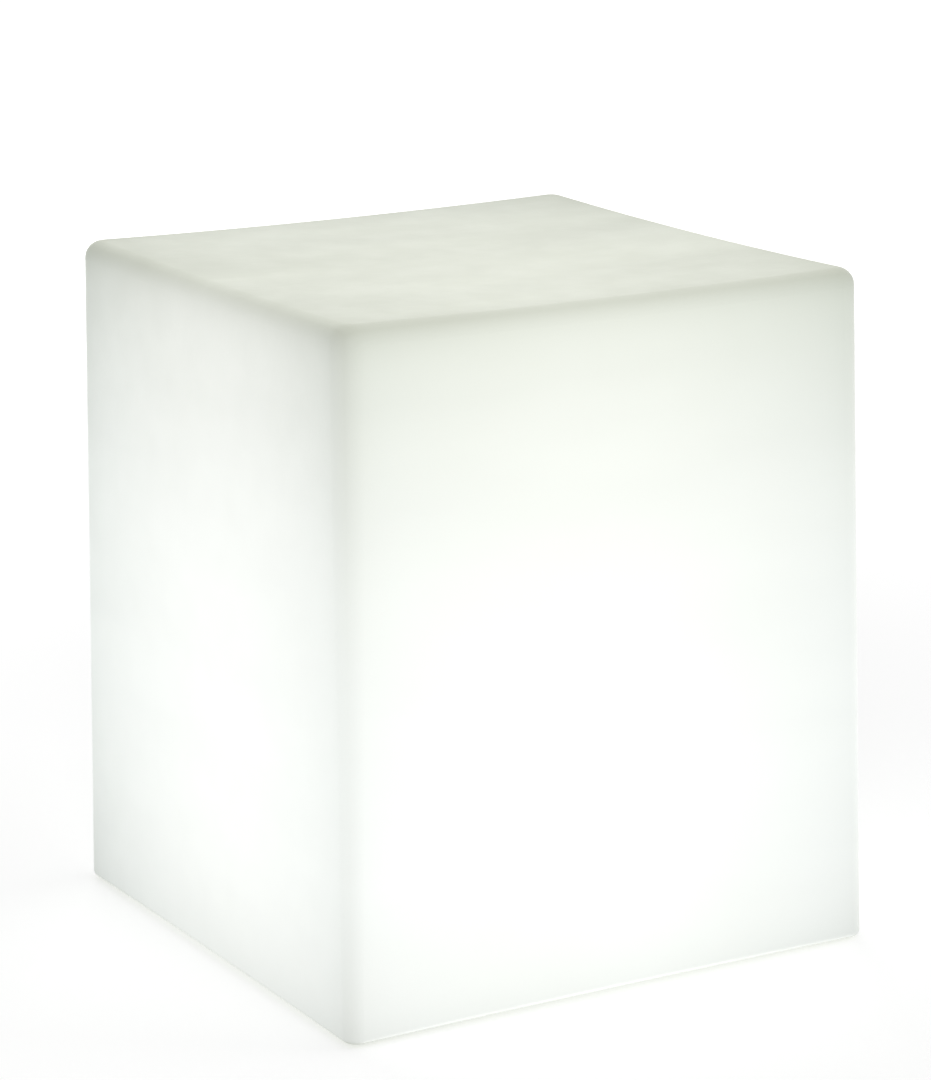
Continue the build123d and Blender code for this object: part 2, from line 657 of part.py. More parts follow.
with BuildPart() as control_screws:
    with Locations((0, POCKET_Y, control_board_top)):
        with board_post_places():
            add(m3_screw, rotation=(180, 0, 0))
finish(control_screws, "control_screws")

plug_top = control_board_top + PLUG_HEIGHT

with BuildPart() as lead_plugs:
    with BuildSketch(Plane.XY.offset(control_board_top)):
        with Locations((LED_PLUG_X, POCKET_Y + PLUG_Y), (BATTERY_PLUG_X, POCKET_Y + PLUG_Y)):
            Rectangle(PLUG_LENGTH, PLUG_WIDTH)
    extrude(amount=PLUG_HEIGHT)
finish(lead_plugs, "lead_plugs")

# ---------------------------------------------------------------- push switch
barrel_top = pocket_roof + SWITCH_BARREL_HEIGHT
switch_face = pocket_roof - SWITCH_NOSE_HEIGHT
chamber_floor = switch_face + SWITCH_LIP
chamber_radius = BUTTON_COLLAR_RADIUS + BUTTON_CLEARANCE
chamber_top = barrel_top - HOUSING_WALL
collar_top = chamber_floor + BUTTON_COLLAR_HEIGHT

with BuildPart() as switch_body:
    with BuildSketch(Plane.XY.offset(switch_face)):
        with Locations((SWITCH_X, POCKET_Y)):
            Circle(SWITCH_NOSE_RADIUS)
    extrude(amount=SWITCH_NOSE_HEIGHT)
    fillet(switch_body.edges().group_by(Axis.Z)[0], SWITCH_LIP)
    with BuildSketch(Plane.XY.offset(pocket_roof)):
        with Locations((SWITCH_X, POCKET_Y)):
            Circle(SWITCH_BARREL_RADIUS)
    extrude(amount=SWITCH_BARREL_HEIGHT)
    with BuildSketch(Plane.XY.offset(chamber_floor)):
        with Locations((SWITCH_X, POCKET_Y)):
            Circle(chamber_radius)
    extrude(amount=chamber_top - chamber_floor, mode=Mode.SUBTRACT)
    with BuildSketch(Plane.XY.offset(switch_face)):
        with Locations((SWITCH_X, POCKET_Y)):
            Circle(BUTTON_RADIUS + BUTTON_CLEARANCE)
    extrude(amount=SWITCH_LIP, mode=Mode.SUBTRACT)
finish(switch_body, "switch_body")

with BuildPart() as switch_nut:
    with BuildSketch(Plane.XY.offset(pocket_top)):
        with Locations((SWITCH_X, POCKET_Y)):
            RegularPolygon(SWITCH_NUT_RADIUS, 6, major_radius=False)
            Circle(SWITCH_BARREL_RADIUS + THREAD_CLEARANCE, mode=Mode.SUBTRACT)
    extrude(amount=SWITCH_NUT_HEIGHT)
finish(switch_nut, "switch_nut")

with BuildPart() as power_button:
    with BuildSketch(Plane.XY.offset(switch_face - BUTTON_PROUD)):
        with Locations((SWITCH_X, POCKET_Y)):
            Circle(BUTTON_RADIUS)
    extrude(amount=BUTTON_PROUD + SWITCH_LIP)
    fillet(power_button.edges().group_by(Axis.Z)[0], SWITCH_LIP)
    with BuildSketch(Plane.XY.offset(chamber_floor)):
        with Locations((SWITCH_X, POCKET_Y)):
            Circle(BUTTON_COLLAR_RADIUS)
    extrude(amount=BUTTON_COLLAR_HEIGHT)
    with BuildSketch(Plane.XY.offset(collar_top)):
        with Locations((SWITCH_X, POCKET_Y)):
            Circle(BUTTON_SPIGOT_RADIUS)
    extrude(amount=BUTTON_SPIGOT_HEIGHT)
finish(power_button, "power_button")

spring_height = chamber_top - collar_top - 2 * SPRING_WIRE_RADIUS
with BuildPart() as button_spring:
    with BuildLine():
        coil = Helix(spring_height / SPRING_TURNS, spring_height, SPRING_RADIUS)
    with BuildSketch(Plane(origin=coil @ 0, z_dir=coil % 0)):
        RegularPolygon(SPRING_WIRE_RADIUS, SPRING_WIRE_SIDES)
    sweep(is_frenet=True)
spring_place = Location((SWITCH_X, POCKET_Y, collar_top + SPRING_WIRE_RADIUS))
button_spring.part = button_spring.part.moved(spring_place)
finish(button_spring, "button_spring")

# ---------------------------------------------------------------- charging socket
with BuildPart() as charge_socket:
    with BuildSketch(Plane.XY.offset(socket_face)):
        with Locations((SOCKET_X, POCKET_Y)):
            Circle(SOCKET_NOSE_RADIUS)
    extrude(amount=SOCKET_NOSE_HEIGHT)
    with BuildSketch(Plane.XY.offset(pocket_roof)):
        with Locations((SOCKET_X, POCKET_Y)):
            Circle(SOCKET_BARREL_RADIUS)
    extrude(amount=SOCKET_BARREL_HEIGHT)
    with BuildSketch(Plane.XY.offset(socket_face)):
        with Locations((SOCKET_X, POCKET_Y)):
            Circle(SOCKET_BORE_RADIUS)
    extrude(amount=SOCKET_BORE_DEPTH, mode=Mode.SUBTRACT)
finish(charge_socket, "charge_socket")

with BuildPart() as socket_pin:
    with BuildSketch(Plane.XY.offset(socket_face + SOCKET_BORE_DEPTH)):
        with Locations((SOCKET_X, POCKET_Y)):
            Circle(SOCKET_PIN_RADIUS)
    extrude(amount=-(SOCKET_BORE_DEPTH - SOCKET_PIN_INSET))
    chamfer(socket_pin.edges().group_by(Axis.Z)[0], SOCKET_PIN_RADIUS / 2)
finish(socket_pin, "socket_pin")

with BuildPart() as socket_nut:
    with BuildSketch(Plane.XY.offset(pocket_top)):
        with Locations((SOCKET_X, POCKET_Y)):
            RegularPolygon(SOCKET_NUT_RADIUS, 6, major_radius=False)
            Circle(SOCKET_BARREL_RADIUS + THREAD_CLEARANCE, mode=Mode.SUBTRACT)
    extrude(amount=SOCKET_NUT_HEIGHT)
finish(socket_nut, "socket_nut")

cap_radius = SOCKET_NOSE_RADIUS + CAP_CLEARANCE + CAP_WALL
with BuildPart() as socket_cap:
    with BuildSketch(Plane.XY.offset(cap_top)):
        with Locations((SOCKET_X, POCKET_Y)):
            Circle(cap_radius)
        with Locations(((SOCKET_X + hinge_x) / 2, POCKET_Y)):
            Rectangle(HINGE_REACH, CAP_WIDTH)
        with Locations((SOCKET_X - cap_radius, POCKET_Y)):
            Rectangle(2 * CAP_TAB_LENGTH, CAP_TAB_WIDTH)
    extrude(amount=-CAP_THICKNESS)
    with BuildSketch(Plane.XY.offset(cap_top)):
        with Locations((SOCKET_X, POCKET_Y)):
            Circle(cap_radius)
            Circle(SOCKET_NOSE_RADIUS + CAP_CLEARANCE, mode=Mode.SUBTRACT)
    extrude(amount=pocket_roof - cap_top - CAP_GAP)
    with BuildSketch(Plane.XY.offset(cap_top)):
        with Locations((SOCKET_X, POCKET_Y)):
            Circle(SOCKET_BORE_RADIUS - CAP_GAP)
    extrude(amount=CAP_NUB_HEIGHT)
    with BuildSketch(Plane.XZ.offset(-POCKET_Y)):
        with Locations((hinge_x, hinge_z)):
            Circle(KNUCKLE_RADIUS)
    extrude(amount=CAP_WIDTH / 2, both=True)
    with BuildSketch(Plane.XZ.offset(-POCKET_Y)):
        with Locations((hinge_x, hinge_z)):
            Circle(HINGE_PIN_RADIUS + HINGE_RUNNING_CLEARANCE)
    extrude(amount=CAP_WIDTH / 2, both=True, mode=Mode.SUBTRACT)
finish(socket_cap, "socket_cap")

with BuildPart() as hinge_pin:
    with BuildSketch(Plane.XZ.offset(-POCKET_Y)):
        with Locations((hinge_x, hinge_z)):
            Circle(HINGE_PIN_RADIUS)
    extrude(amount=CAP_WIDTH / 2 + KNUCKLE_GAP + EAR_THICKNESS, both=True)
finish(hinge_pin, "hinge_pin")

with BuildPart() as charge_lamp:
    with BuildSketch(Plane.XY.offset(pocket_roof)):
        with Locations((LAMP_X, POCKET_Y)):
            Circle(LAMP_HEAD_RADIUS)
    extrude(amount=-LAMP_HEAD_HEIGHT)
    chamfer(charge_lamp.edges().group_by(Axis.Z)[0], LAMP_HEAD_HEIGHT / 2)
    with BuildSketch(Plane.XY.offset(pocket_roof)):
        with Locations((LAMP_X, POCKET_Y)):
            Circle(LAMP_RADIUS)
    extrude(amount=control_board_z - LAMP_CHIP_HEIGHT - LAMP_GAP - pocket_roof)
finish(charge_lamp, "charge_lamp")

# ---------------------------------------------------------------- leads inside the cup
with BuildPart() as led_lead:
    with BuildLine():
        led_route = FilletPolyline(
            (LED_PLUG_X, POCKET_Y + PLUG_Y, plug_top),
            (LED_PLUG_X, POCKET_Y + PLUG_Y, plug_top + LEAD_EXIT),
            (lead_x, lead_y, cup_top - LEAD_EXIT),
            (lead_x, lead_y, led_board_top),
            radius=LEAD_BEND,
        )
    with BuildSketch(Plane(origin=led_route @ 0, z_dir=led_route % 0)):
        Circle(LEAD_RADIUS)
    sweep()
finish(led_lead, "led_lead")

with BuildPart() as lead_grommet:
    with BuildSketch(Plane.XY.offset(cup_top)):
        with Locations((lead_x, lead_y)):
            Circle(grommet_hole)
            Circle(LEAD_RADIUS + LEAD_CLEARANCE, mode=Mode.SUBTRACT)
    extrude(amount=led_board_top - cup_top)
    with BuildSketch(Plane.XY.offset(cup_top)):
        with Locations((lead_x, lead_y)):
            Circle(grommet_hole + GROMMET_LIP)
            Circle(LEAD_RADIUS + LEAD_CLEARANCE, mode=Mode.SUBTRACT)
    extrude(amount=-GROMMET_LIP)
finish(lead_grommet, "lead_grommet")

with BuildPart() as battery_lead:
    with BuildLine():
        battery_route = FilletPolyline(
            (link_x + LINK_THICKNESS, BATTERY_Y, cell_z),
            (link_x + LEAD_EXIT, BATTERY_Y, cell_z),
            (link_x + 1.3 * LEAD_EXIT, BATTERY_Y - 2 * LEAD_EXIT, plug_top),
            (BATTERY_PLUG_X + 1.5 * LEAD_EXIT, POCKET_Y + PLUG_Y + 1.7 * LEAD_EXIT, plug_top + 1.2 * LEAD_EXIT),
            (BATTERY_PLUG_X, POCKET_Y + PLUG_Y, plug_top + 1.1 * LEAD_EXIT),
            (BATTERY_PLUG_X, POCKET_Y + PLUG_Y, plug_top),
            radius=LEAD_BEND,
        )
    with BuildSketch(Plane(origin=battery_route @ 0, z_dir=battery_route % 0)):
        Circle(LEAD_RADIUS)
    sweep()
finish(battery_lead, "battery_lead")
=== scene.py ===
import math

import bmesh
import bpy
from mathutils import Matrix, Quaternion, Vector


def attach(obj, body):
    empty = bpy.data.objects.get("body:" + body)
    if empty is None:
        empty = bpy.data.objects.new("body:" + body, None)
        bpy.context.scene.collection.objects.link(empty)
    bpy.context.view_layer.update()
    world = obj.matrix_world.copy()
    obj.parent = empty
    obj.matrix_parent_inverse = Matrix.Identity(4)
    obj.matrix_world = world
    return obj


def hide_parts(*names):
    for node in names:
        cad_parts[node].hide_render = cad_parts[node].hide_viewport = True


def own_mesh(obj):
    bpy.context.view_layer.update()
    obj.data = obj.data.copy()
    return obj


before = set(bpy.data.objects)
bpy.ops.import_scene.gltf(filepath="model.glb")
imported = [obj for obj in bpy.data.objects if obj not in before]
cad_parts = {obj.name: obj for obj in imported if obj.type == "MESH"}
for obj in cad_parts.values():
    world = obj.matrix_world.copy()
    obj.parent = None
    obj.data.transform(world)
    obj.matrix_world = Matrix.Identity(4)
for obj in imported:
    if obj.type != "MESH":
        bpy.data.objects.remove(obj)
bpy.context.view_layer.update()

# Sizes of the cube in metres, as the CAD model has them
HALF_FOOTPRINT = 0.2
LEAN = math.tan(math.radians(0.7))  # each wall leans in by this much for each metre up
UNDERSIDE = 0.002
CROWN = 0.466
SEAT_RADIUS = 0.104

# The camera that took the picture
VIEW_AZIMUTH, VIEW_ELEVATION, VIEW_ROLL = -29.62, 14.16, -0.61
VIEW_DISTANCE = 2.644
VIEW_TARGET = Vector((0.002, 0.0, 0.2655))
VIEW_LENS = 128.19
SENSOR_WIDTH = 36.0

# Kinds of node that are used often
MATH, VECTOR_MATH, MAP_RANGE = "ShaderNodeMath", "ShaderNodeVectorMath", "ShaderNodeMapRange"
MIX, MAPPING, NOISE, BUMP = "ShaderNodeMix", "ShaderNodeMapping", "ShaderNodeTexNoise", "ShaderNodeBump"
SPLIT = "ShaderNodeSeparateXYZ"

# A Mix node's sockets go by number, because those for numbers, vectors and colours share their names
FACTOR, VECTOR_A, VECTOR_B, COLOUR_A, COLOUR_B = 0, 4, 5, 6, 7
MIXED_VECTOR, MIXED_COLOUR = 1, 2

# Where nearly all the values of a noise lie
NOISE_LOW, NOISE_HIGH = 0.32, 0.68

# Small pieces and patterns are given in millimetres, and Blender takes metres
MM_PER_M = 1000


def linear(hex_colour):
    """An sRGB hex colour as linear red, green, blue and alpha."""
    parts = [int(hex_colour[i : i + 2], 16) / 255 for i in (1, 3, 5)]
    return tuple(c / 12.92 if c <= 0.04045 else ((c + 0.055) / 1.055) ** 2.4 for c in parts) + (1.0,)


def per(size_mm):
    """A pattern's scale on coordinates in metres, from the real size of one feature in millimetres."""
    return MM_PER_M / size_mm


def feed(tree, made, inputs):
    """Gives a node's inputs, by name or in their order, a plain value or another node's output."""
    for key, value in inputs.items() if isinstance(inputs, dict) else enumerate(inputs):
        if isinstance(value, bpy.types.Node):
            value = value.outputs[0]
        if isinstance(value, bpy.types.NodeSocket):
            tree.links.new(value, made.inputs[key])
        else:
            made.inputs[key].default_value = value


def node(tree, kind, inputs=None, **settings):
    """Adds one node with its settings, and its inputs as feed() takes them."""
    made = tree.nodes.new(kind)
    for name, value in settings.items():
        setattr(made, name, value)
    feed(tree, made, inputs or {})
    return made


def surface(name, **uniform):
    """A new material, its node tree, its shader with the values that don't vary, and object coordinates."""
    material = bpy.data.materials.new(name)
    material.use_nodes = True
    tree = material.node_tree
    tree.nodes.clear()
    shader = node(tree, "ShaderNodeBsdfPrincipled", {k.replace("_", " "): v for k, v in uniform.items()})
    node(tree, "ShaderNodeOutputMaterial", {"Surface": shader})
    place = node(tree, "ShaderNodeTexCoord").outputs["Object"]
    return material, tree, shader, place


def mottle(tree, place, size_mm, low=0.0, high=1.0, detail=3.0):
    """Noise of one feature size, spread from low to high."""
    noise = node(tree, NOISE, {"Vector": place, "Scale": per(size_mm), "Detail": detail})
    spread = {"Value": noise, "From Min": NOISE_LOW, "From Max": NOISE_HIGH, "To Min": low, "To Max": high}
    return node(tree, MAP_RANGE, spread).outputs[0]


def two_tone(tree, place, size_mm, first, second):
    """A slow drift between two hex colours."""
    drift = mottle(tree, place, size_mm)
    tones = {FACTOR: drift, COLOUR_A: linear(first), COLOUR_B: linear(second)}
    return node(tree, MIX, tones, data_type="RGBA").outputs[MIXED_COLOUR]


def grain(tree, place, size_mm, depth_mm, detail=2.0, over=None):
    """The normal of a fine moulded, rolled or cut grain, on top of a coarser relief if there is one."""
    noise = node(tree, NOISE, {"Vector": place, "Scale": per(size_mm), "Detail": detail})
    relief = {"Height": noise, "Distance": depth_mm / MM_PER_M, "Strength": 1.0}
    if over is not None:
        relief["Normal"] = over
    return node(tree, BUMP, relief)


# ---------------------------------------------------------------- the shell, with its glow painted in
# What the studio lamps already give the shell, which the glow is worked out on top of
LAMPS_ON_SIDE = 0.358
LAMPS_ON_TOP = 0.43
LAMPS_BELOW = 0.395

# Each face's glow: its brightest spot along the face's two axes (m), how fast the light falls off from there
# along each (per square metre) and how bright the spot is, the last two for red, green and blue
WIDE_WALL_GLOW = dict(
    spot=(-0.034, 0.132), fall_off=((2.85, 2.65, 2.50), (1.55, 1.50, 1.90)), peak=(1.054, 1.074, 1.056)
)
NARROW_WALL_GLOW = dict(
    spot=(-0.028, 0.165), fall_off=((3.60, 3.30, 3.30), (2.30, 2.36, 2.55)), peak=(1.030, 1.050, 1.035)
)
TOP_GLOW = dict(
    spot=(-0.010, -0.060), fall_off=((1.6, 1.6, 1.4), (1.3, 1.3, 1.1)), peak=(0.808, 0.829, 0.752)
)
BASE_GLOW = dict(
    spot=(0.0, 0.0), fall_off=((2.0, 2.0, 2.0), (2.0, 2.0, 2.0)), peak=(0.80, 0.825, 0.765)
)

# The recess for the module is further in than this from the walls' planes, and lower than this (m)
RECESS_FROM_WALL, RECESS_BELOW = 0.04, 0.1


def face_glow(tree, axes, spot, fall_off, peak):
    """Light that falls off with the square of the distance from a face's brightest spot, along both axes."""
    glow = peak
    for axis, centre, rate in zip(axes, spot, fall_off):
        away = node(tree, MATH, [axis, centre], operation="SUBTRACT")
        away = node(tree, MATH, [away, 2.0], operation="POWER")
        glow = node(tree, VECTOR_MATH, [away, tuple(-r for r in rate), glow], operation="MULTIPLY_ADD")
    return glow


def edge_distances(tree, x, y, z):
    """How far a point of the shell is from its nearest wall, crown edge, rim, upright, corner and foot."""
    half_width = node(tree, MATH, [z, -LEAN, HALF_FOOTPRINT], operation="MULTIPLY_ADD")
    across = [node(tree, MATH, [axis], operation="ABSOLUTE") for axis in (x, y)]
    from_walls = [node(tree, MATH, [half_width, a], operation="SUBTRACT") for a in across]
    from_wall = node(tree, MATH, from_walls, operation="MINIMUM")
    down = node(tree, MATH, [CROWN, z], operation="SUBTRACT")
    up = node(tree, MATH, [z, UNDERSIDE], operation="SUBTRACT")
    from_crown = node(tree, MATH, [down, from_wall], operation="MAXIMUM")
    from_rim = node(tree, MATH, [up, from_wall], operation="MAXIMUM")
    from_upright = node(tree, MATH, from_walls, operation="MAXIMUM")
    from_corner = node(tree, MATH, [from_crown, from_upright], operation="ADD")
    from_foot = node(tree, MATH, [from_rim, from_upright], operation="ADD")
    return from_wall, from_crown, from_rim, from_upright, from_corner, from_foot


def rotomoulded_polyethylene():
    """White translucent polyethylene, rotationally moulded: satin, faintly wavy, lit from inside.

    The light of the lamp inside is painted into the emission by position and facing; the LED chips don't
    light the shell. The lamp sits low in the middle, so each wall is painted brightest in a round patch below
    its middle, fading towards the top. The rounded edges are the thickest plastic, so painted shade darkens
    them, most of all at the corners, and round the top the painted glow is a little warmer.
    """
    material, tree, shader, place = surface("rotomoulded_polyethylene", IOR=1.51, Emission_Strength=1.0)
    x, y, z = node(tree, SPLIT, [place]).outputs
    facing_x, facing_y, facing_z = node(tree, SPLIT, [place.node.outputs["Normal"]]).outputs
    from_wall, from_crown, from_rim, from_upright, from_corner, from_foot = edge_distances(tree, x, y, z)
    wide_wall = face_glow(tree, (x, z), **WIDE_WALL_GLOW)
    narrow_wall = face_glow(tree, (y, z), **NARROW_WALL_GLOW)
    top = face_glow(tree, (x, y), **TOP_GLOW)
    base = face_glow(tree, (x, y), **BASE_GLOW)

    # The top: painted faint slow diagonal waves of light in the glow, where the wall varies in thickness
    diagonal = {"Vector": place, "Rotation": (0, 0, math.radians(35)), "Scale": (1.0, 2.6, 1.0)}
    painted_waves = mottle(tree, node(tree, MAPPING, diagonal), size_mm=170, low=0.970, high=1.022, detail=0.3)
    top = node(tree, VECTOR_MATH, {0: top, "Scale": painted_waves}, operation="SCALE")

    # The underside: painted shade, its glow darker where it steps in round the module
    reach = node(tree, VECTOR_MATH, [place], operation="LENGTH").outputs["Value"]
    past_step = {"Value": reach, "From Min": SEAT_RADIUS, "From Max": SEAT_RADIUS + 0.05}
    past_step |= {"To Min": 0.72, "To Max": 1.0}
    lit_again = node(tree, MAP_RANGE, past_step, interpolation_type="SMOOTHSTEP")
    base = node(tree, VECTOR_MATH, {0: base, "Scale": lit_again}, operation="SCALE")

    # Each face has its own glow, blended round the edges by the way the surface faces
    upward = node(tree, MATH, [facing_z, 0.0], operation="GREATER_THAN")
    level = node(tree, MIX, {FACTOR: upward, VECTOR_A: base, VECTOR_B: top}, data_type="VECTOR")
    level = level.outputs[MIXED_VECTOR]
    glow = (0.0, 0.0, 0.0)
    for way, own in ((facing_x, narrow_wall), (facing_y, wide_wall), (facing_z, level)):
        share = node(tree, MATH, [way, 2.0], operation="POWER")
        glow = node(tree, VECTOR_MATH, [own, share, glow], operation="MULTIPLY_ADD")

    # Painted shade: the step round the module is given the dim glow of the underside that it belongs to
    low = node(tree, MATH, [z, RECESS_BELOW], operation="LESS_THAN")
    inner = node(tree, MATH, [from_wall, RECESS_FROM_WALL], operation="GREATER_THAN")
    inner = node(tree, MATH, [inner, low], operation="MULTIPLY")
    glow = node(tree, MIX, {FACTOR: inner, VECTOR_A: glow, VECTOR_B: base}, data_type="VECTOR")
    glow = glow.outputs[MIXED_VECTOR]

    # Painted shade: the glow is darkened near the edges. The columns: near which edge, how far in that
    # reaches (m), how much of the red, green and blue is lost right at the edge, and on which faces. The
    # uprights' painted shade grows towards the top.
    rising = {"Value": z, "From Min": 0.24, "From Max": 0.42, "To Min": 0.42, "To Max": 1.0}
    upper = node(tree, MAP_RANGE, rising, interpolation_type="SMOOTHSTEP")
    on_level = node(tree, MATH, [facing_z, facing_z], operation="MULTIPLY")
    on_walls = node(tree, MATH, [1.0, on_level], operation="SUBTRACT")
    on_narrow_walls = node(tree, MATH, [facing_x, facing_x], operation="MULTIPLY")
    for distance, width, depth, share in (
        (from_crown, 0.010, (0.065, 0.065, 0.080), 1.0),
        (from_crown, 0.009, (0.215, 0.215, 0.230), on_walls),
        (from_crown, 0.012, (0.085, 0.085, 0.095), on_narrow_walls),
        (from_crown, 0.120, (0.004, 0.000, 0.012), on_walls),
        (from_upright, 0.009, (0.140, 0.145, 0.160), upper),
        (from_rim, 0.033, (0.118, 0.110, 0.110), 1.0),
        (from_foot, 0.050, (0.055, 0.065, 0.065), 1.0),
        (from_corner, 0.090, (0.060, 0.060, 0.070), 1.0),
        (from_corner, 0.080, (0.035, 0.035, 0.030), on_walls),
    ):
        reached = node(tree, MATH, [distance, -1.0 / width], operation="MULTIPLY")
        reached = node(tree, MATH, [math.e, reached], operation="POWER")
        reached = node(tree, MATH, [reached, share], operation="MULTIPLY")
        lost = tuple(-d for d in depth)
        kept = node(tree, VECTOR_MATH, [reached, lost, (1.0, 1.0, 1.0)], operation="MULTIPLY_ADD")
        glow = node(tree, VECTOR_MATH, [glow, kept], operation="MULTIPLY")

    # Uneven wall thickness, as painted light: the glow dims in faint level bands down the walls and a little
    # in the thicker upper third
    flattened = node(tree, MAPPING, {"Vector": place, "Scale": (0.35, 0.35, 1.6)})
    bands = mottle(tree, flattened, size_mm=90, low=0.989, high=1.011, detail=2.0)
    thick_top_range = {"Value": z, "From Min": 0.305, "From Max": 0.335, "To Min": 1.0, "To Max": 0.992}
    thick_top_dimming = node(tree, MAP_RANGE, thick_top_range, interpolation_type="SMOOTHSTEP")
    bands = node(tree, MATH, [bands, thick_top_dimming], operation="MULTIPLY")
    glow = node(tree, VECTOR_MATH, {0: glow, "Scale": bands}, operation="SCALE")

    # What the lamps give is taken off the glow
    turning_over = {"Value": facing_z, "From Min": -0.001, "From Max": 0.001}
    turning_over |= {"To Min": LAMPS_BELOW, "To Max": LAMPS_ON_TOP}
    lamps = node(tree, MAP_RANGE, turning_over)
    lamps = node(tree, MATH, [lamps, on_level], operation="MULTIPLY")
    lamps = node(tree, MATH, [on_walls, LAMPS_ON_SIDE, lamps], operation="MULTIPLY_ADD")
    glow = node(tree, VECTOR_MATH, [glow, lamps], operation="SUBTRACT")
    glow = node(tree, VECTOR_MATH, [glow, (0.0, 0.0, 0.0)], operation="MAXIMUM")

    material.cycles.emission_sampling = "NONE"
    feed(tree, shader, {
        "Base Color": two_tone(tree, place, 120, "#a9aaa6", "#acadaa"),
        "Roughness": mottle(tree, place, 25, 0.40, 0.50),
        "Normal": grain(tree, place, 1.2, 0.03, over=grain(tree, place, 7, 0.12, detail=1.0)),
        "Emission Color": glow,
    })
    return material


# ---------------------------------------------------------------- the other materials
# Sizes of patterns and depths of grain are in mm
def moulded_rubber():
    """Black moulded rubber: matt, slightly dusty, with a soft blasted-mould grain."""
    material, tree, shader, place = surface(
        "moulded_rubber", IOR=1.52, Sheen_Weight=0.15, Sheen_Roughness=0.6
    )
    feed(tree, shader, {
        "Base Color": two_tone(tree, place, 9, "#1a1a1b", "#27272a"),
        "Roughness": mottle(tree, place, 6, 0.62, 0.78),
        "Normal": grain(tree, place, 0.5, 0.03),
    })
    return material


def turned_brass():
    """Free-cutting brass off a lathe: warm yellow metal with fine tool marks."""
    material, tree, shader, place = surface("turned_brass", Metallic=1.0)
    round_the_barrel = node(tree, MAPPING, {"Vector": place, "Scale": (0.2, 0.2, 1.0)})
    feed(tree, shader, {
        "Base Color": two_tone(tree, place, 3, "#c8a45a", "#d6b56c"),
        "Roughness": mottle(tree, place, 2, 0.22, 0.34),
        "Normal": grain(tree, round_the_barrel, 0.3, 0.01),
    })
    return material


def moulded_silicone():
    """Grey silicone rubber: soft, slightly see-through, with a dull skin."""
    material, tree, shader, place = surface(
        "moulded_silicone", IOR=1.41, Subsurface_Weight=0.2, Subsurface_Scale=0.001
    )
    feed(tree, shader, {
        "Base Color": two_tone(tree, place, 8, "#8f9497", "#9da2a4"),
        "Roughness": mottle(tree, place, 4, 0.45, 0.6),
        "Normal": grain(tree, place, 0.8, 0.02),
    })
    return material


def moulded_grey_abs():
    """Grey injection-moulded ABS for the button: a fine satin, worn smoother in places by fingers."""
    material, tree, shader, place = surface("moulded_grey_abs", IOR=1.53)
    feed(tree, shader, {
        "Base Color": two_tone(tree, place, 8, "#82878b", "#8f9498"),
        "Roughness": mottle(tree, place, 5, 0.30, 0.46),
        "Normal": grain(tree, place, 0.3, 0.015),
    })
    return material


# The marks that moulding leaves on the housing's underside, in metres
PIN_COUNT = 6
PIN_CIRCLE_RADIUS = 0.070
MARK_INNER_RADIUS, MARK_OUTER_RADIUS = 0.0036, 0.0040
MARK_DEPTH = 0.00025


def moulded_white_abs():
    """Injection-moulded white ABS: spark-eroded grain, with the gate's and the ejector pins' faint marks.

    The marks are shallow rings, one in the middle and six round it, which catch the light as the part turns.
    """
    material, tree, shader, place = surface("moulded_white_abs", IOR=1.53)
    x, y, _ = node(tree, SPLIT, [place]).outputs
    flat = node(tree, VECTOR_MATH, [place, (1.0, 1.0, 0.0)], operation="MULTIPLY")
    reach = node(tree, VECTOR_MATH, [flat], operation="LENGTH").outputs["Value"]

    # Folding the angle lays all the pins' marks over one
    half_step = math.pi / PIN_COUNT
    angle = node(tree, MATH, [y, x], operation="ARCTAN2")
    angle = node(tree, MATH, [angle, half_step], operation="ADD")
    angle = node(tree, MATH, [angle, half_step], operation="PINGPONG")
    along = node(tree, MATH, [angle], operation="COSINE")
    along = node(tree, MATH, [reach, along, -PIN_CIRCLE_RADIUS], operation="MULTIPLY_ADD")
    aside = node(tree, MATH, [angle], operation="SINE")
    aside = node(tree, MATH, [reach, aside], operation="MULTIPLY")
    to_pin = node(tree, "ShaderNodeCombineXYZ", [along, aside])
    to_pin = node(tree, VECTOR_MATH, [to_pin], operation="LENGTH").outputs["Value"]
    to_mark = node(tree, MATH, [to_pin, reach], operation="MINIMUM")
    edge = {"Value": to_mark, "From Min": MARK_INNER_RADIUS, "From Max": MARK_OUTER_RADIUS}
    marks = node(tree, MAP_RANGE, edge, interpolation_type="SMOOTHSTEP")
    sunk = node(tree, BUMP, {"Height": marks, "Distance": MARK_DEPTH, "Strength": 1.0})
    feed(tree, shader, {
        "Base Color": two_tone(tree, place, 40, "#e2e4e0", "#ecedea"),
        "Roughness": mottle(tree, place, 14, 0.36, 0.5),
        "Normal": grain(tree, place, 0.35, 0.02, over=sunk),
    })
    return material


def stainless_steel():
    """Cold-drawn stainless steel: bright grey with fine drawing lines and a few duller patches."""
    material, tree, shader, place = surface("stainless_steel", Metallic=1.0)
    drawn = node(tree, MAPPING, {"Vector": place, "Scale": (1.0, 0.15, 1.0)})
    feed(tree, shader, {
        "Base Color": two_tone(tree, place, 5, "#b4b6b8", "#c6c8c9"),
        "Roughness": mottle(tree, place, 2.5, 0.22, 0.38),
        "Normal": grain(tree, drawn, 0.25, 0.006),
    })
    return material


def filled_plastic(name, first, second):
    """Moulded nylon or epoxy with a filler: near matt, with faint swirls where the filler meets the skin."""
    material, tree, shader, place = surface(name, IOR=1.53)
    swirls = node(tree, MAPPING, {"Vector": place, "Scale": (1.0, 0.4, 1.0)})
    feed(tree, shader, {
        "Base Color": two_tone(tree, swirls, 4, first, second),
        "Roughness": mottle(tree, swirls, 3, 0.42, 0.6),
        "Normal": grain(tree, swirls, 0.6, 0.02),
    })
    return material


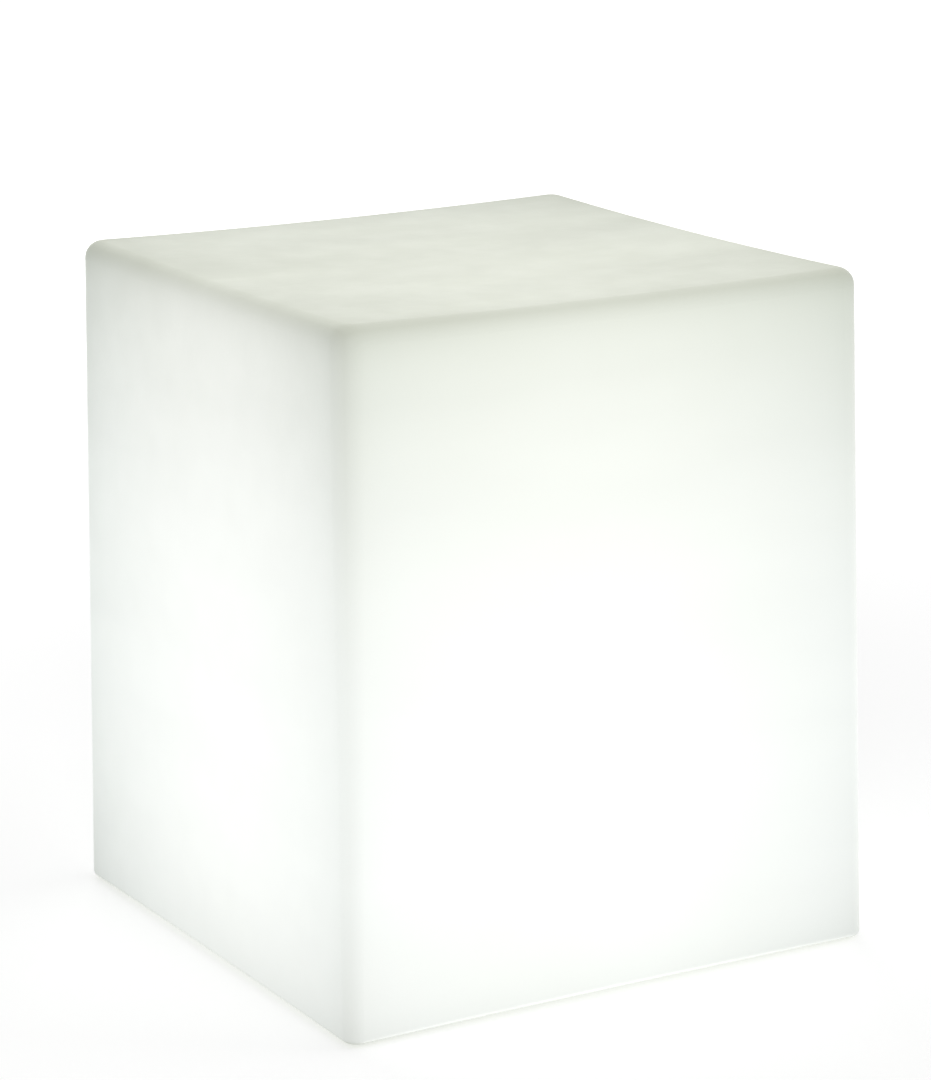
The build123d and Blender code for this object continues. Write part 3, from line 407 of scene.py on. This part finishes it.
def rolled_aluminium():
    """Mill-finish aluminium sheet: soft grey with rolling lines all one way."""
    material, tree, shader, place = surface("rolled_aluminium", Metallic=1.0)
    rolled = node(tree, MAPPING, {"Vector": place, "Scale": (0.02, 1.0, 1.0)})
    feed(tree, shader, {
        "Base Color": two_tone(tree, rolled, 1.2, "#b9bcbe", "#cdd0d1"),
        "Roughness": mottle(tree, rolled, 0.8, 0.32, 0.46),
        "Normal": grain(tree, rolled, 0.5, 0.008),
    })
    return material


def solder_mask(name, first, second, over_copper):
    """Printed board under solder mask: glossy, its copper tracks showing as slightly raised, paler lines."""
    material, tree, shader, place = surface(name, IOR=1.55, Coat_Weight=0.3, Coat_Roughness=0.12)
    tracks = node(tree, "ShaderNodeTexBrick", {
        "Vector": place,
        "Scale": per(18),
        "Mortar Size": 0.035,
        "Brick Width": 0.7,
        "Row Height": 0.22,
        "Color1": linear("#000000"),
        "Color2": linear("#000000"),
        "Mortar": linear("#ffffff"),
    })
    mask = two_tone(tree, place, 20, first, second)
    tones = {FACTOR: tracks, COLOUR_A: mask, COLOUR_B: linear(over_copper)}
    feed(tree, shader, {
        "Base Color": node(tree, MIX, tones, data_type="RGBA").outputs[MIXED_COLOUR],
        "Roughness": mottle(tree, place, 6, 0.3, 0.4),
        "Normal": node(tree, BUMP, {"Height": tracks, "Distance": 0.00005, "Strength": 1.0}),
    })
    return material


def led_phosphor():
    """Yellow phosphor in clear silicone, lit: a bright warm white with a faintly clouded skin."""
    material, tree, shader, place = surface("led_phosphor", IOR=1.5, Roughness=0.35, Emission_Strength=2.0)
    feed(tree, shader, {
        "Base Color": two_tone(tree, place, 1.2, "#efc94f", "#f5da77"),
        "Emission Color": two_tone(tree, place, 1.5, "#fff3c4", "#fffbe8"),
        "Normal": grain(tree, place, 0.3, 0.02),
    })
    return material


def frosted_polycarbonate():
    """Frosted opal polycarbonate: the light spreads in it, partly painted as a mottled glow, and the blasted
    skin has no sharp gloss.
    """
    material, tree, shader, place = surface(
        "frosted_polycarbonate", IOR=1.585, Transmission_Weight=0.45, Emission_Strength=0.7
    )
    # Painted glow: a mottled emission stands for the LED light that spreads through the dome
    painted_glow = mottle(tree, place, 30, 0.86, 0.98)
    feed(tree, shader, {
        "Base Color": two_tone(tree, place, 25, "#eef0ee", "#f6f7f4"),
        "Roughness": mottle(tree, place, 5, 0.5, 0.62),
        "Emission Color": node(tree, "ShaderNodeCombineColor", [painted_glow, painted_glow, painted_glow]),
        "Normal": grain(tree, place, 0.5, 0.03),
    })
    return material


def shrink_sleeve():
    """PVC shrink sleeve over steel cells: satin blue with faint creases, bare metal at the ends."""
    sleeve_reach = 0.0318  # half a sleeve's length, along X
    material, tree, shader, place = surface("shrink_sleeve", IOR=1.54)
    along, _, _ = node(tree, SPLIT, [place]).outputs
    along = node(tree, MATH, [along], operation="ABSOLUTE")
    bare = node(tree, MATH, [along, sleeve_reach], operation="GREATER_THAN")
    sleeve = two_tone(tree, place, 12, "#2c5f7d", "#34708f")
    tones = {FACTOR: bare, COLOUR_A: sleeve, COLOUR_B: linear("#c3c2bd")}
    creased = node(tree, MAPPING, {"Vector": place, "Scale": (3.0, 0.6, 0.6)})
    feed(tree, shader, {
        "Base Color": node(tree, MIX, tones, data_type="RGBA").outputs[MIXED_COLOUR],
        "Metallic": bare,
        "Roughness": mottle(tree, place, 4, 0.3, 0.45),
        "Normal": grain(tree, creased, 5, 0.05),
    })
    return material


def nickel_strip():
    """Nickel-plated steel strip: warm silver with the dimples of spot welds."""
    material, tree, shader, place = surface("nickel_strip", Metallic=1.0)
    spots = node(tree, "ShaderNodeTexVoronoi", {"Vector": place, "Scale": per(2.4), "Randomness": 0.2})
    feed(tree, shader, {
        "Base Color": two_tone(tree, place, 4, "#b5b1a6", "#c7c3b8"),
        "Roughness": mottle(tree, place, 2, 0.28, 0.42),
        "Normal": node(tree, BUMP, {"Height": spots, "Distance": 0.00008, "Strength": 1.0}),
    })
    return material


def clear_acrylic():
    """Polished clear acrylic: glassy, with only the faintest ripple of the mould."""
    material, tree, shader, place = surface("clear_acrylic", IOR=1.49, Transmission_Weight=0.9)
    feed(tree, shader, {
        "Base Color": two_tone(tree, place, 6, "#f2f6f4", "#fbfdfc"),
        "Roughness": mottle(tree, place, 2, 0.05, 0.12),
        "Normal": grain(tree, place, 1.5, 0.004),
    })
    return material


def pvc_lead():
    """PVC lead jacket: smooth dark grey, a little waxy."""
    material, tree, shader, place = surface("pvc_lead", IOR=1.53)
    feed(tree, shader, {
        "Base Color": two_tone(tree, place, 7, "#2b2c2f", "#36373a"),
        "Roughness": mottle(tree, place, 3, 0.38, 0.5),
        "Normal": grain(tree, place, 1.0, 0.02),
    })
    return material


MATERIALS = {
    "white_polyethylene": rotomoulded_polyethylene(),
    "black_rubber": moulded_rubber(),
    "brass": turned_brass(),
    "grey_silicone": moulded_silicone(),
    "white_abs": moulded_white_abs(),
    "grey_abs": moulded_grey_abs(),
    "stainless_steel": stainless_steel(),
    "black_nylon": filled_plastic("black_filled_nylon", "#17181a", "#222426"),
    "natural_nylon": filled_plastic("natural_nylon", "#ddd7c6", "#e8e3d4"),
    "aluminium_sheet": rolled_aluminium(),
    "white_board": solder_mask("white_solder_mask", "#eceeea", "#f3f4f1", "#fafaf7"),
    "led_phosphor": led_phosphor(),
    "frosted_polycarbonate": frosted_polycarbonate(),
    "cell_sleeve": shrink_sleeve(),
    "nickel_strip": nickel_strip(),
    "green_board": solder_mask("green_solder_mask", "#0f5a33", "#14683c", "#2c8a55"),
    "black_epoxy": filled_plastic("moulded_black_epoxy", "#1c1d1f", "#26272a"),
    "clear_acrylic": clear_acrylic(),
    "lead_jacket": pvc_lead(),
}
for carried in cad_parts.values():
    for number, packed in enumerate(carried.data.materials):
        carried.material_slots[number].material = MATERIALS[packed.name.split(".")[0]]


# ---------------------------------------------------------------- pieces made here in finer detail
SHARP_ANGLE = math.radians(32)
FULL_TURN = 2 * math.pi

# Machine screws, in mm
M4 = dict(radius=2.0, head_radius=4.0, head_height=2.7, pitch=0.7)
M3 = dict(radius=1.5, head_radius=2.8, head_height=2.2, pitch=0.5)

# A pan head's outline from its crown to its seat, as shares of its radius and height
PAN_HEAD = (
    (0, -1), (0.35, -0.985), (0.62, -0.93), (0.82, -0.80),
    (0.95, -0.60), (1.0, -0.36), (1.0, -0.06), (0.97, 0.0),
)

# A thread's outline: its root and crest as shares of the radius, at shares of the pitch
THREAD = ((0.87, 0.45), (0.87, 0.55), (0.995, 0.97))
PLAIN_SHANK = 0.8  # pitches without a thread, at the head and at the tip
TIP_RADIUS = 0.7

# A cross recess: half an arm's length and breadth as shares of the head's radius, then its mouth and floor,
# each with its level as a share of the head's height and the shares of length and breadth left there
RECESS_LENGTH, RECESS_BREADTH = 0.60, 0.15
RECESS_ENDS = ((-1.2, 1.12, 1.0), (-0.35, 0.45, 0.8))


def as_object(name, made):
    """A finished bmesh as an object in the scene, smooth but for its sharp edges."""
    mesh = bpy.data.meshes.new(name)
    made.normal_update()
    made.to_mesh(mesh)
    made.free()
    mesh.polygons.foreach_set("use_smooth", [True] * len(mesh.polygons))
    mesh.set_sharp_from_angle(angle=SHARP_ANGLE)
    piece = bpy.data.objects.new(name, mesh)
    bpy.context.scene.collection.objects.link(piece)
    return piece


def turned(profile, segments, flutes=0, depth=0.0):
    """Turns a profile of (radius, height) in mm about Z, its widest part fluted or knurled if asked for."""
    made = bmesh.new()
    widest = max(radius for radius, _ in profile)
    rings = []
    for radius, height in profile:
        ring = []
        for k in range(segments if radius else 1):
            angle = FULL_TURN * k / segments
            cut = depth * (0.5 - 0.5 * math.cos(flutes * angle)) if radius == widest else 0.0
            reach = (radius - cut) / MM_PER_M
            ring.append(made.verts.new((reach * math.cos(angle), reach * math.sin(angle), height / MM_PER_M)))
        rings.append(ring)
    for first, second in zip(rings, rings[1:]):
        for k in range(segments):
            here, there = k, k + 1
            corners = [first[here % len(first)], first[there % len(first)]]
            corners += [second[there % len(second)], second[here % len(second)]]
            made.faces.new(list(dict.fromkeys(corners)))
    bmesh.ops.recalc_face_normals(made, faces=made.faces)
    return made


def cut_out(piece, tool):
    """Takes one object's shape out of another and leaves a plain mesh."""
    cut = piece.modifiers.new("cut", "BOOLEAN")
    cut.operation, cut.object, cut.solver = "DIFFERENCE", tool, "EXACT"
    plain = bpy.data.meshes.new_from_object(piece.evaluated_get(bpy.context.evaluated_depsgraph_get()))
    piece.modifiers.clear()
    piece.data = plain
    plain.set_sharp_from_angle(angle=SHARP_ANGLE)
    bpy.data.objects.remove(tool)


def recess_wedge(head_radius, head_height, along_x):
    """One arm of a cross recess: a tapered wedge through the middle of a head, point upwards."""
    made = bmesh.new()
    wide, thin = RECESS_LENGTH * head_radius / MM_PER_M, RECESS_BREADTH * head_radius / MM_PER_M
    corners = []
    for level, long_part, thin_part in RECESS_ENDS:
        for u, v in ((-1, -1), (1, -1), (1, 1), (-1, 1)):
            a, b, z = u * wide * long_part, v * thin * thin_part, level * head_height / MM_PER_M
            corners.append(made.verts.new((a, b, z) if along_x else (-b, a, z)))
    for face in ((3, 2, 1, 0), (4, 5, 6, 7), (0, 1, 5, 4), (1, 2, 6, 5), (2, 3, 7, 6), (3, 0, 4, 7)):
        made.faces.new([corners[k] for k in face])
    bmesh.ops.recalc_face_normals(made, faces=made.faces)
    return made


def pan_head_screw(radius, length, head_radius, head_height, pitch, head_up=False):
    """A pan-head machine screw with a cross recess and a cut thread, its head under Z = 0 unless head_up."""
    profile = [(share * head_radius, level * head_height) for share, level in PAN_HEAD]
    profile += [(radius, 0.0), (radius, PLAIN_SHANK * pitch)]
    for k in range(int((length - 2 * PLAIN_SHANK * pitch) / pitch)):
        start = PLAIN_SHANK * pitch + k * pitch
        profile += [(share * radius, start + part * pitch) for share, part in THREAD]
    profile += [(TIP_RADIUS * radius, length), (0, length)]
    screw = as_object("screw", turned(profile, 32))
    for along_x in (True, False):
        cut_out(screw, as_object("recess", recess_wedge(head_radius, head_height, along_x)))
    if head_up:
        screw.data.transform(Matrix.Rotation(math.pi, 4, "X"))
    return screw


def circle_of(count, radius, height, start=0.0):
    """Places round a circle, in mm, from this many degrees on."""
    angles = [math.radians(start + 360.0 * k / count) for k in range(count)]
    return [(radius * math.cos(a), radius * math.sin(a), height) for a in angles]


def point_setter():
    """A tree that sets a piece on each point in one material, turned at random or to face outwards."""
    group = bpy.data.node_groups.new("set_on_points", "GeometryNodeTree")
    for name, kind in (
        ("Points", "Geometry"),
        ("Piece", "Object"),
        ("Finish", "Material"),
        ("Turn", "Float"),
        ("Radial", "Float"),
        ("Seed", "Int"),
    ):
        group.interface.new_socket(name=name, in_out="INPUT", socket_type="NodeSocket" + kind)
    group.interface.new_socket(name="Set", in_out="OUTPUT", socket_type="NodeSocketGeometry")
    given = node(group, "NodeGroupInput").outputs
    piece = node(group, "GeometryNodeObjectInfo", {"Object": given["Piece"]}).outputs["Geometry"]

    # A Random Value node's sockets for a plain number
    least, most, seed, drawn = 2, 3, 8, 1
    limits = {least: 0.0, most: given["Turn"], seed: given["Seed"]}
    angle = node(group, "FunctionNodeRandomValue", limits, data_type="FLOAT").outputs[drawn]
    x, y, _ = node(group, SPLIT, [node(group, "GeometryNodeInputPosition")]).outputs
    outward = node(group, MATH, [y, x], operation="ARCTAN2")
    angle = node(group, MATH, [outward, given["Radial"], angle], operation="MULTIPLY_ADD")
    turn = node(group, "ShaderNodeCombineXYZ", {"Z": angle})
    instances = {"Points": given["Points"], "Instance": piece, "Rotation": turn}
    placed = node(group, "GeometryNodeInstanceOnPoints", instances)
    real = node(group, "GeometryNodeRealizeInstances", {"Geometry": placed})
    done = node(group, "GeometryNodeSetMaterial", {"Geometry": real, "Material": given["Finish"]})
    node(group, "NodeGroupOutput", {"Set": done})
    inputs = [item for item in group.interface.items_tree if item.in_out == "INPUT"]
    return group, {item.name: item.identifier for item in inputs}


POINT_SETTER, SETTER_INPUTS = point_setter()


def set_out(name, piece, places, finish, stands_for, turn=0.0, radial=0.0, seed=1):
    """A piece on each of several places (mm), as one plain mesh that stands for a CAD node."""
    points = bpy.data.meshes.new(name)
    points.from_pydata([tuple(v / MM_PER_M for v in place) for place in places], [], [])
    holder = bpy.data.objects.new(name, points)
    bpy.context.scene.collection.objects.link(holder)
    setter = holder.modifiers.new("set_out", "NODES")
    setter.node_group = POINT_SETTER
    given = {"Piece": piece, "Finish": MATERIALS[finish], "Turn": turn, "Radial": radial, "Seed": seed}
    for key, value in given.items():
        setter[SETTER_INPUTS[key]] = value
    plain = bpy.data.meshes.new_from_object(holder.evaluated_get(bpy.context.evaluated_depsgraph_get()))
    holder.modifiers.clear()
    holder.data = plain
    bpy.data.objects.remove(piece)
    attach(holder, "light")
    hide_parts(stands_for)


def rubber_foot():
    """A round push-in foot, with a hollow in the middle and two grip grooves on its face."""
    profile = [(0, 1.0), (2.7, 1.0), (3.5, 0.3), (4.0, 0.0)]
    profile += [(5.3, 0.0), (5.6, 0.35), (6.0, 0.35), (6.3, 0.0)]
    profile += [(7.5, 0.0), (7.8, 0.35), (8.2, 0.35), (8.5, 0.0)]
    profile += [(8.9, 0.0), (9.5, 0.2), (9.85, 0.6), (10.0, 1.2), (10.0, 6.0), (0, 6.0)]
    return as_object("rubber_foot", turned(profile, 64))


def vent_plug():
    """The breather's push-in plug: a fluted head with a dimple over its membrane, and a barb to hold it."""
    profile = [(0, -1.1), (2.2, -1.1), (2.3, -1.8), (2.7, -2.0), (5.7, -2.0), (6.6, -1.65), (7.0, -1.0)]
    profile += [(7.0, 0.0), (4.0, 0.0), (4.0, 3.0), (4.6, 3.0), (4.6, 3.4), (3.7, 5.0), (0, 5.0)]
    return as_object("vent_plug", turned(profile, 96, flutes=8, depth=0.7))


def knurled_insert():
    """A moulded-in brass insert: a knurled barrel with a groove that the plastic locks into."""
    profile = [(2.0, 0.0), (2.6, 0.0), (2.9, 0.25), (2.9, 3.2), (2.45, 3.5)]
    profile += [(2.45, 4.5), (2.9, 4.8), (2.9, 7.6), (2.6, 8.0), (2.0, 8.0), (2.0, 0.0)]
    return as_object("knurled_insert", turned(profile, 72, flutes=24, depth=0.22))


def led_frame():
    """A moulded LED package, 5.0 mm square, with a round well for its phosphor and one corner cut off."""
    half, notch, height, taper = 0.0025, 0.0007, 0.0016, 0.985  # in metres, but for the taper
    outline = [(-half + notch, -half), (half, -half), (half, half), (-half, half), (-half, -half + notch)]
    made = bmesh.new()
    foot = [made.verts.new((x, y, 0.0)) for x, y in outline]
    rim = [made.verts.new((x * taper, y * taper, height)) for x, y in outline]
    made.faces.new(foot[::-1])
    made.faces.new(rim)
    for k in range(len(outline)):
        after = (k + 1) % len(outline)
        made.faces.new([foot[k], foot[after], rim[after], rim[k]])
    package = as_object("led_frame", made)
    cut_out(package, as_object("well", turned([(0, 1.15), (1.75, 1.15), (2.05, 2.0), (0, 2.0)], 32)))
    return package


def led_window():
    """The phosphor that fills the well, slightly domed."""
    return as_object("led_window", turned([(0, 1.5), (1.0, 1.48), (1.85, 1.38), (1.80, 1.16), (0, 1.16)], 32))


def wire_spring(x, y, low, high, coil, wire, turns):
    """A compression spring of round wire (mm), its last turn at each end closed against the next."""
    closed, sides, steps = 0.9, 12, 32  # closed turns at each end, sides of the wire, steps in a turn
    pitch = (high - low - 2 * wire - 4 * wire * closed) / (turns - 2 * closed)
    around = [FULL_TURN * n / sides for n in range(sides)]
    made = bmesh.new()
    rings = []
    for k in range(turns * steps + 1):
        turn = k / steps
        middle = min(max(turn - closed, 0.0), turns - 2 * closed)
        rise = 2 * wire * (turn - middle) + pitch * middle
        out = Vector((math.cos(FULL_TURN * turn), math.sin(FULL_TURN * turn), 0.0))
        centre = Vector((x, y, low + wire + rise)) + coil * out
        skin = [centre + wire * (math.cos(a) * out + Vector((0, 0, math.sin(a)))) for a in around]
        rings.append([made.verts.new(point / MM_PER_M) for point in skin])
    for first, second in zip(rings, rings[1:]):
        for n in range(sides):
            after = (n + 1) % sides
            made.faces.new([first[n], first[after], second[after], second[n]])
    made.faces.new(rings[0])
    made.faces.new(rings[-1])
    bmesh.ops.recalc_face_normals(made, faces=made.faces)
    return as_object("return_spring", made)


# Places in mm, as the CAD model has them
FIXING_CIRCLE = 92.0
LED_BOARD_Z = 68.1
FLANGE_SCREW_PLACES = circle_of(6, FIXING_CIRCLE, 9.2)
INSERT_PLACES = circle_of(6, FIXING_CIRCLE, 14.0)
BOARD_SCREW_PLACES = circle_of(3, 50.0, LED_BOARD_Z, start=90)
DOME_SCREW_PLACES = circle_of(6, 70.0, 70.5)
CLAMP_SCREW_PLACES = [(0, -10.7, 33.9), (0, 56.7, 33.9)]
CONTROL_SCREW_PLACES = [(x, y, 34.1) for x in (-37, 37) for y in (-49, -23)]
FOOT_PLACES = [(x, y, 0.0) for x in (-160, 160) for y in (-160, 160)]
VENT_PLACES = [(56, 18, 8.0)]
LED_PLACES = circle_of(6, 20, LED_BOARD_Z) + circle_of(12, 40, LED_BOARD_Z)

for name, size, length, head_up, places, stands_for, seed in (
    ("flange_screws", M4, 13.0, False, FLANGE_SCREW_PLACES, "module_screws", 3),
    ("led_board_screws", M3, 4.0, True, BOARD_SCREW_PLACES, "board_screws", 5),
    ("dome_flange_screws", M3, 10.0, True, DOME_SCREW_PLACES, "dome_screws", 7),
    ("battery_clamp_screws", M3, 10.0, True, CLAMP_SCREW_PLACES, "clamp_screws", 9),
    ("board_post_screws", M3, 10.0, True, CONTROL_SCREW_PLACES, "control_screws", 11),
):
    screw = pan_head_screw(length=length, head_up=head_up, **size)
    set_out(name, screw, places, "stainless_steel", stands_for, turn=FULL_TURN, seed=seed)

set_out("push_in_feet", rubber_foot(), FOOT_PLACES, "black_rubber", "rubber_feet")
set_out("breather_vent", vent_plug(), VENT_PLACES, "black_nylon", "breather_plug")
set_out("moulded_in_inserts", knurled_insert(), INSERT_PLACES, "brass", "threaded_inserts")
set_out("led_frames", led_frame(), LED_PLACES, "natural_nylon", "led_chips", radial=1.0)
set_out("led_windows", led_window(), LED_PLACES, "led_phosphor", "led_chips", radial=1.0)

# The button's return spring, at one length: the real one shortens by the button's travel as it is pressed
spring = wire_spring(x=-24.0, y=-36.0, low=20.3, high=28.5, coil=4.6, wire=0.3, turns=5)
spring.data.materials.append(MATERIALS["stainless_steel"])
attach(spring, "light")
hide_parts("button_spring")
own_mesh(spring)


# ---------------------------------------------------------------- studio
FLOOR_SIZE = 40.0
PAPER_WHITE = (0.8, 0.8, 0.8, 1.0)
PURE_WHITE = (1.0, 1.0, 1.0, 1.0)
SKY_AS_LIGHT, SKY_AS_SEEN = 0.55, 1.0
LAMP_AIM = Vector((0, 0, 0.25))


def studio_floor():
    """A white floor that only the camera and reflections see, from above: it keeps the cube's faint shadow.

    The lamps light it less further out, so its own white grows with the distance to keep the paper even.
    """
    bpy.ops.mesh.primitive_plane_add(size=FLOOR_SIZE, location=(0, 0, 0))
    floor = bpy.context.object
    floor.name = "studio_floor"
    material = bpy.data.materials.new("studio_paper")
    material.use_nodes = True
    tree = material.node_tree
    tree.nodes.clear()
    rays = node(tree, "ShaderNodeLightPath").outputs
    below = node(tree, "ShaderNodeNewGeometry").outputs["Backfacing"]
    seen = node(tree, MATH, [rays["Is Camera Ray"], rays["Is Glossy Ray"]], operation="MAXIMUM")
    above = node(tree, MATH, [1.0, below], operation="SUBTRACT")
    shown = node(tree, MATH, [seen, above], operation="MULTIPLY")
    place = node(tree, "ShaderNodeTexCoord").outputs["Object"]
    away = node(tree, VECTOR_MATH, [place], operation="LENGTH").outputs["Value"]
    evened = {"Value": away, "From Min": 0.3, "From Max": 3.0, "To Min": 0.34, "To Max": 0.62}
    evened = node(tree, MAP_RANGE, evened, interpolation_type="SMOOTHSTEP")
    paper = node(tree, "ShaderNodeBsdfDiffuse", {"Color": PAPER_WHITE})
    lift = node(tree, "ShaderNodeEmission", {"Color": PURE_WHITE, "Strength": evened})
    both = node(tree, "ShaderNodeAddShader", [paper, lift])
    clear = node(tree, "ShaderNodeBsdfTransparent")
    mixed = node(tree, "ShaderNodeMixShader", [shown, clear, both])
    node(tree, "ShaderNodeOutputMaterial", {"Surface": mixed})
    floor.data.materials.append(material)


def studio_world():
    """Even white surroundings: full white where they are seen, softer where they light the object."""
    world = bpy.data.worlds.new("studio")
    bpy.context.scene.world = world
    world.use_nodes = True
    tree = world.node_tree
    tree.nodes.clear()
    rays = node(tree, "ShaderNodeLightPath").outputs
    seen = node(tree, MATH, [rays["Is Camera Ray"], rays["Is Glossy Ray"]], operation="MAXIMUM")
    seen = node(tree, MATH, [seen, rays["Is Transmission Ray"]], operation="MAXIMUM")
    strength = node(tree, MAP_RANGE, {"Value": seen, "To Min": SKY_AS_LIGHT, "To Max": SKY_AS_SEEN})
    sky = node(tree, "ShaderNodeBackground", {"Color": PURE_WHITE, "Strength": strength})
    node(tree, "ShaderNodeOutputWorld", {"Surface": sky})


def soft_lamp(name, place, power, size, mirrored=False):
    """A soft box (watts, metres) that faces the cube, and is seen in reflections only if mirrored."""
    light = bpy.data.lights.new(name, "AREA")
    light.energy, light.size, light.shape = power, size, "SQUARE"
    lamp = bpy.data.objects.new(name, light)
    lamp.location = place
    lamp.rotation_mode = "QUATERNION"
    lamp.rotation_quaternion = (LAMP_AIM - Vector(place)).to_track_quat("-Z", "Y")
    lamp.visible_glossy = mirrored
    bpy.context.scene.collection.objects.link(lamp)


def photograph_camera():
    """The camera at the picture's own place, turned by its slight roll."""
    a, e = math.radians(VIEW_AZIMUTH), math.radians(VIEW_ELEVATION)
    back = Vector((math.sin(a) * math.cos(e), -math.cos(a) * math.cos(e), math.sin(e)))
    data = bpy.data.cameras.new("camera")
    data.lens, data.sensor_width, data.clip_end = VIEW_LENS, SENSOR_WIDTH, 100.0
    camera = bpy.data.objects.new("camera", data)
    camera.location = VIEW_TARGET + back * VIEW_DISTANCE
    camera.rotation_mode = "QUATERNION"
    level = (-back).to_track_quat("-Z", "Y")
    camera.rotation_quaternion = level @ Quaternion((0, 0, 1), math.radians(VIEW_ROLL))
    bpy.context.scene.collection.objects.link(camera)
    bpy.context.scene.camera = camera


studio_floor()
studio_world()
soft_lamp("key", (-2.2, -2.8, 1.9), power=34.0, size=2.0)
soft_lamp("fill", (3.0, -1.4, 1.5), power=20.0, size=2.0)
soft_lamp("back", (0.6, 3.2, 1.7), power=24.0, size=2.0)
soft_lamp("under", (0.55, -0.40, -0.95), power=6.5, size=0.5, mirrored=True)
photograph_camera()
bpy.context.scene.view_settings.view_transform = "Standard"
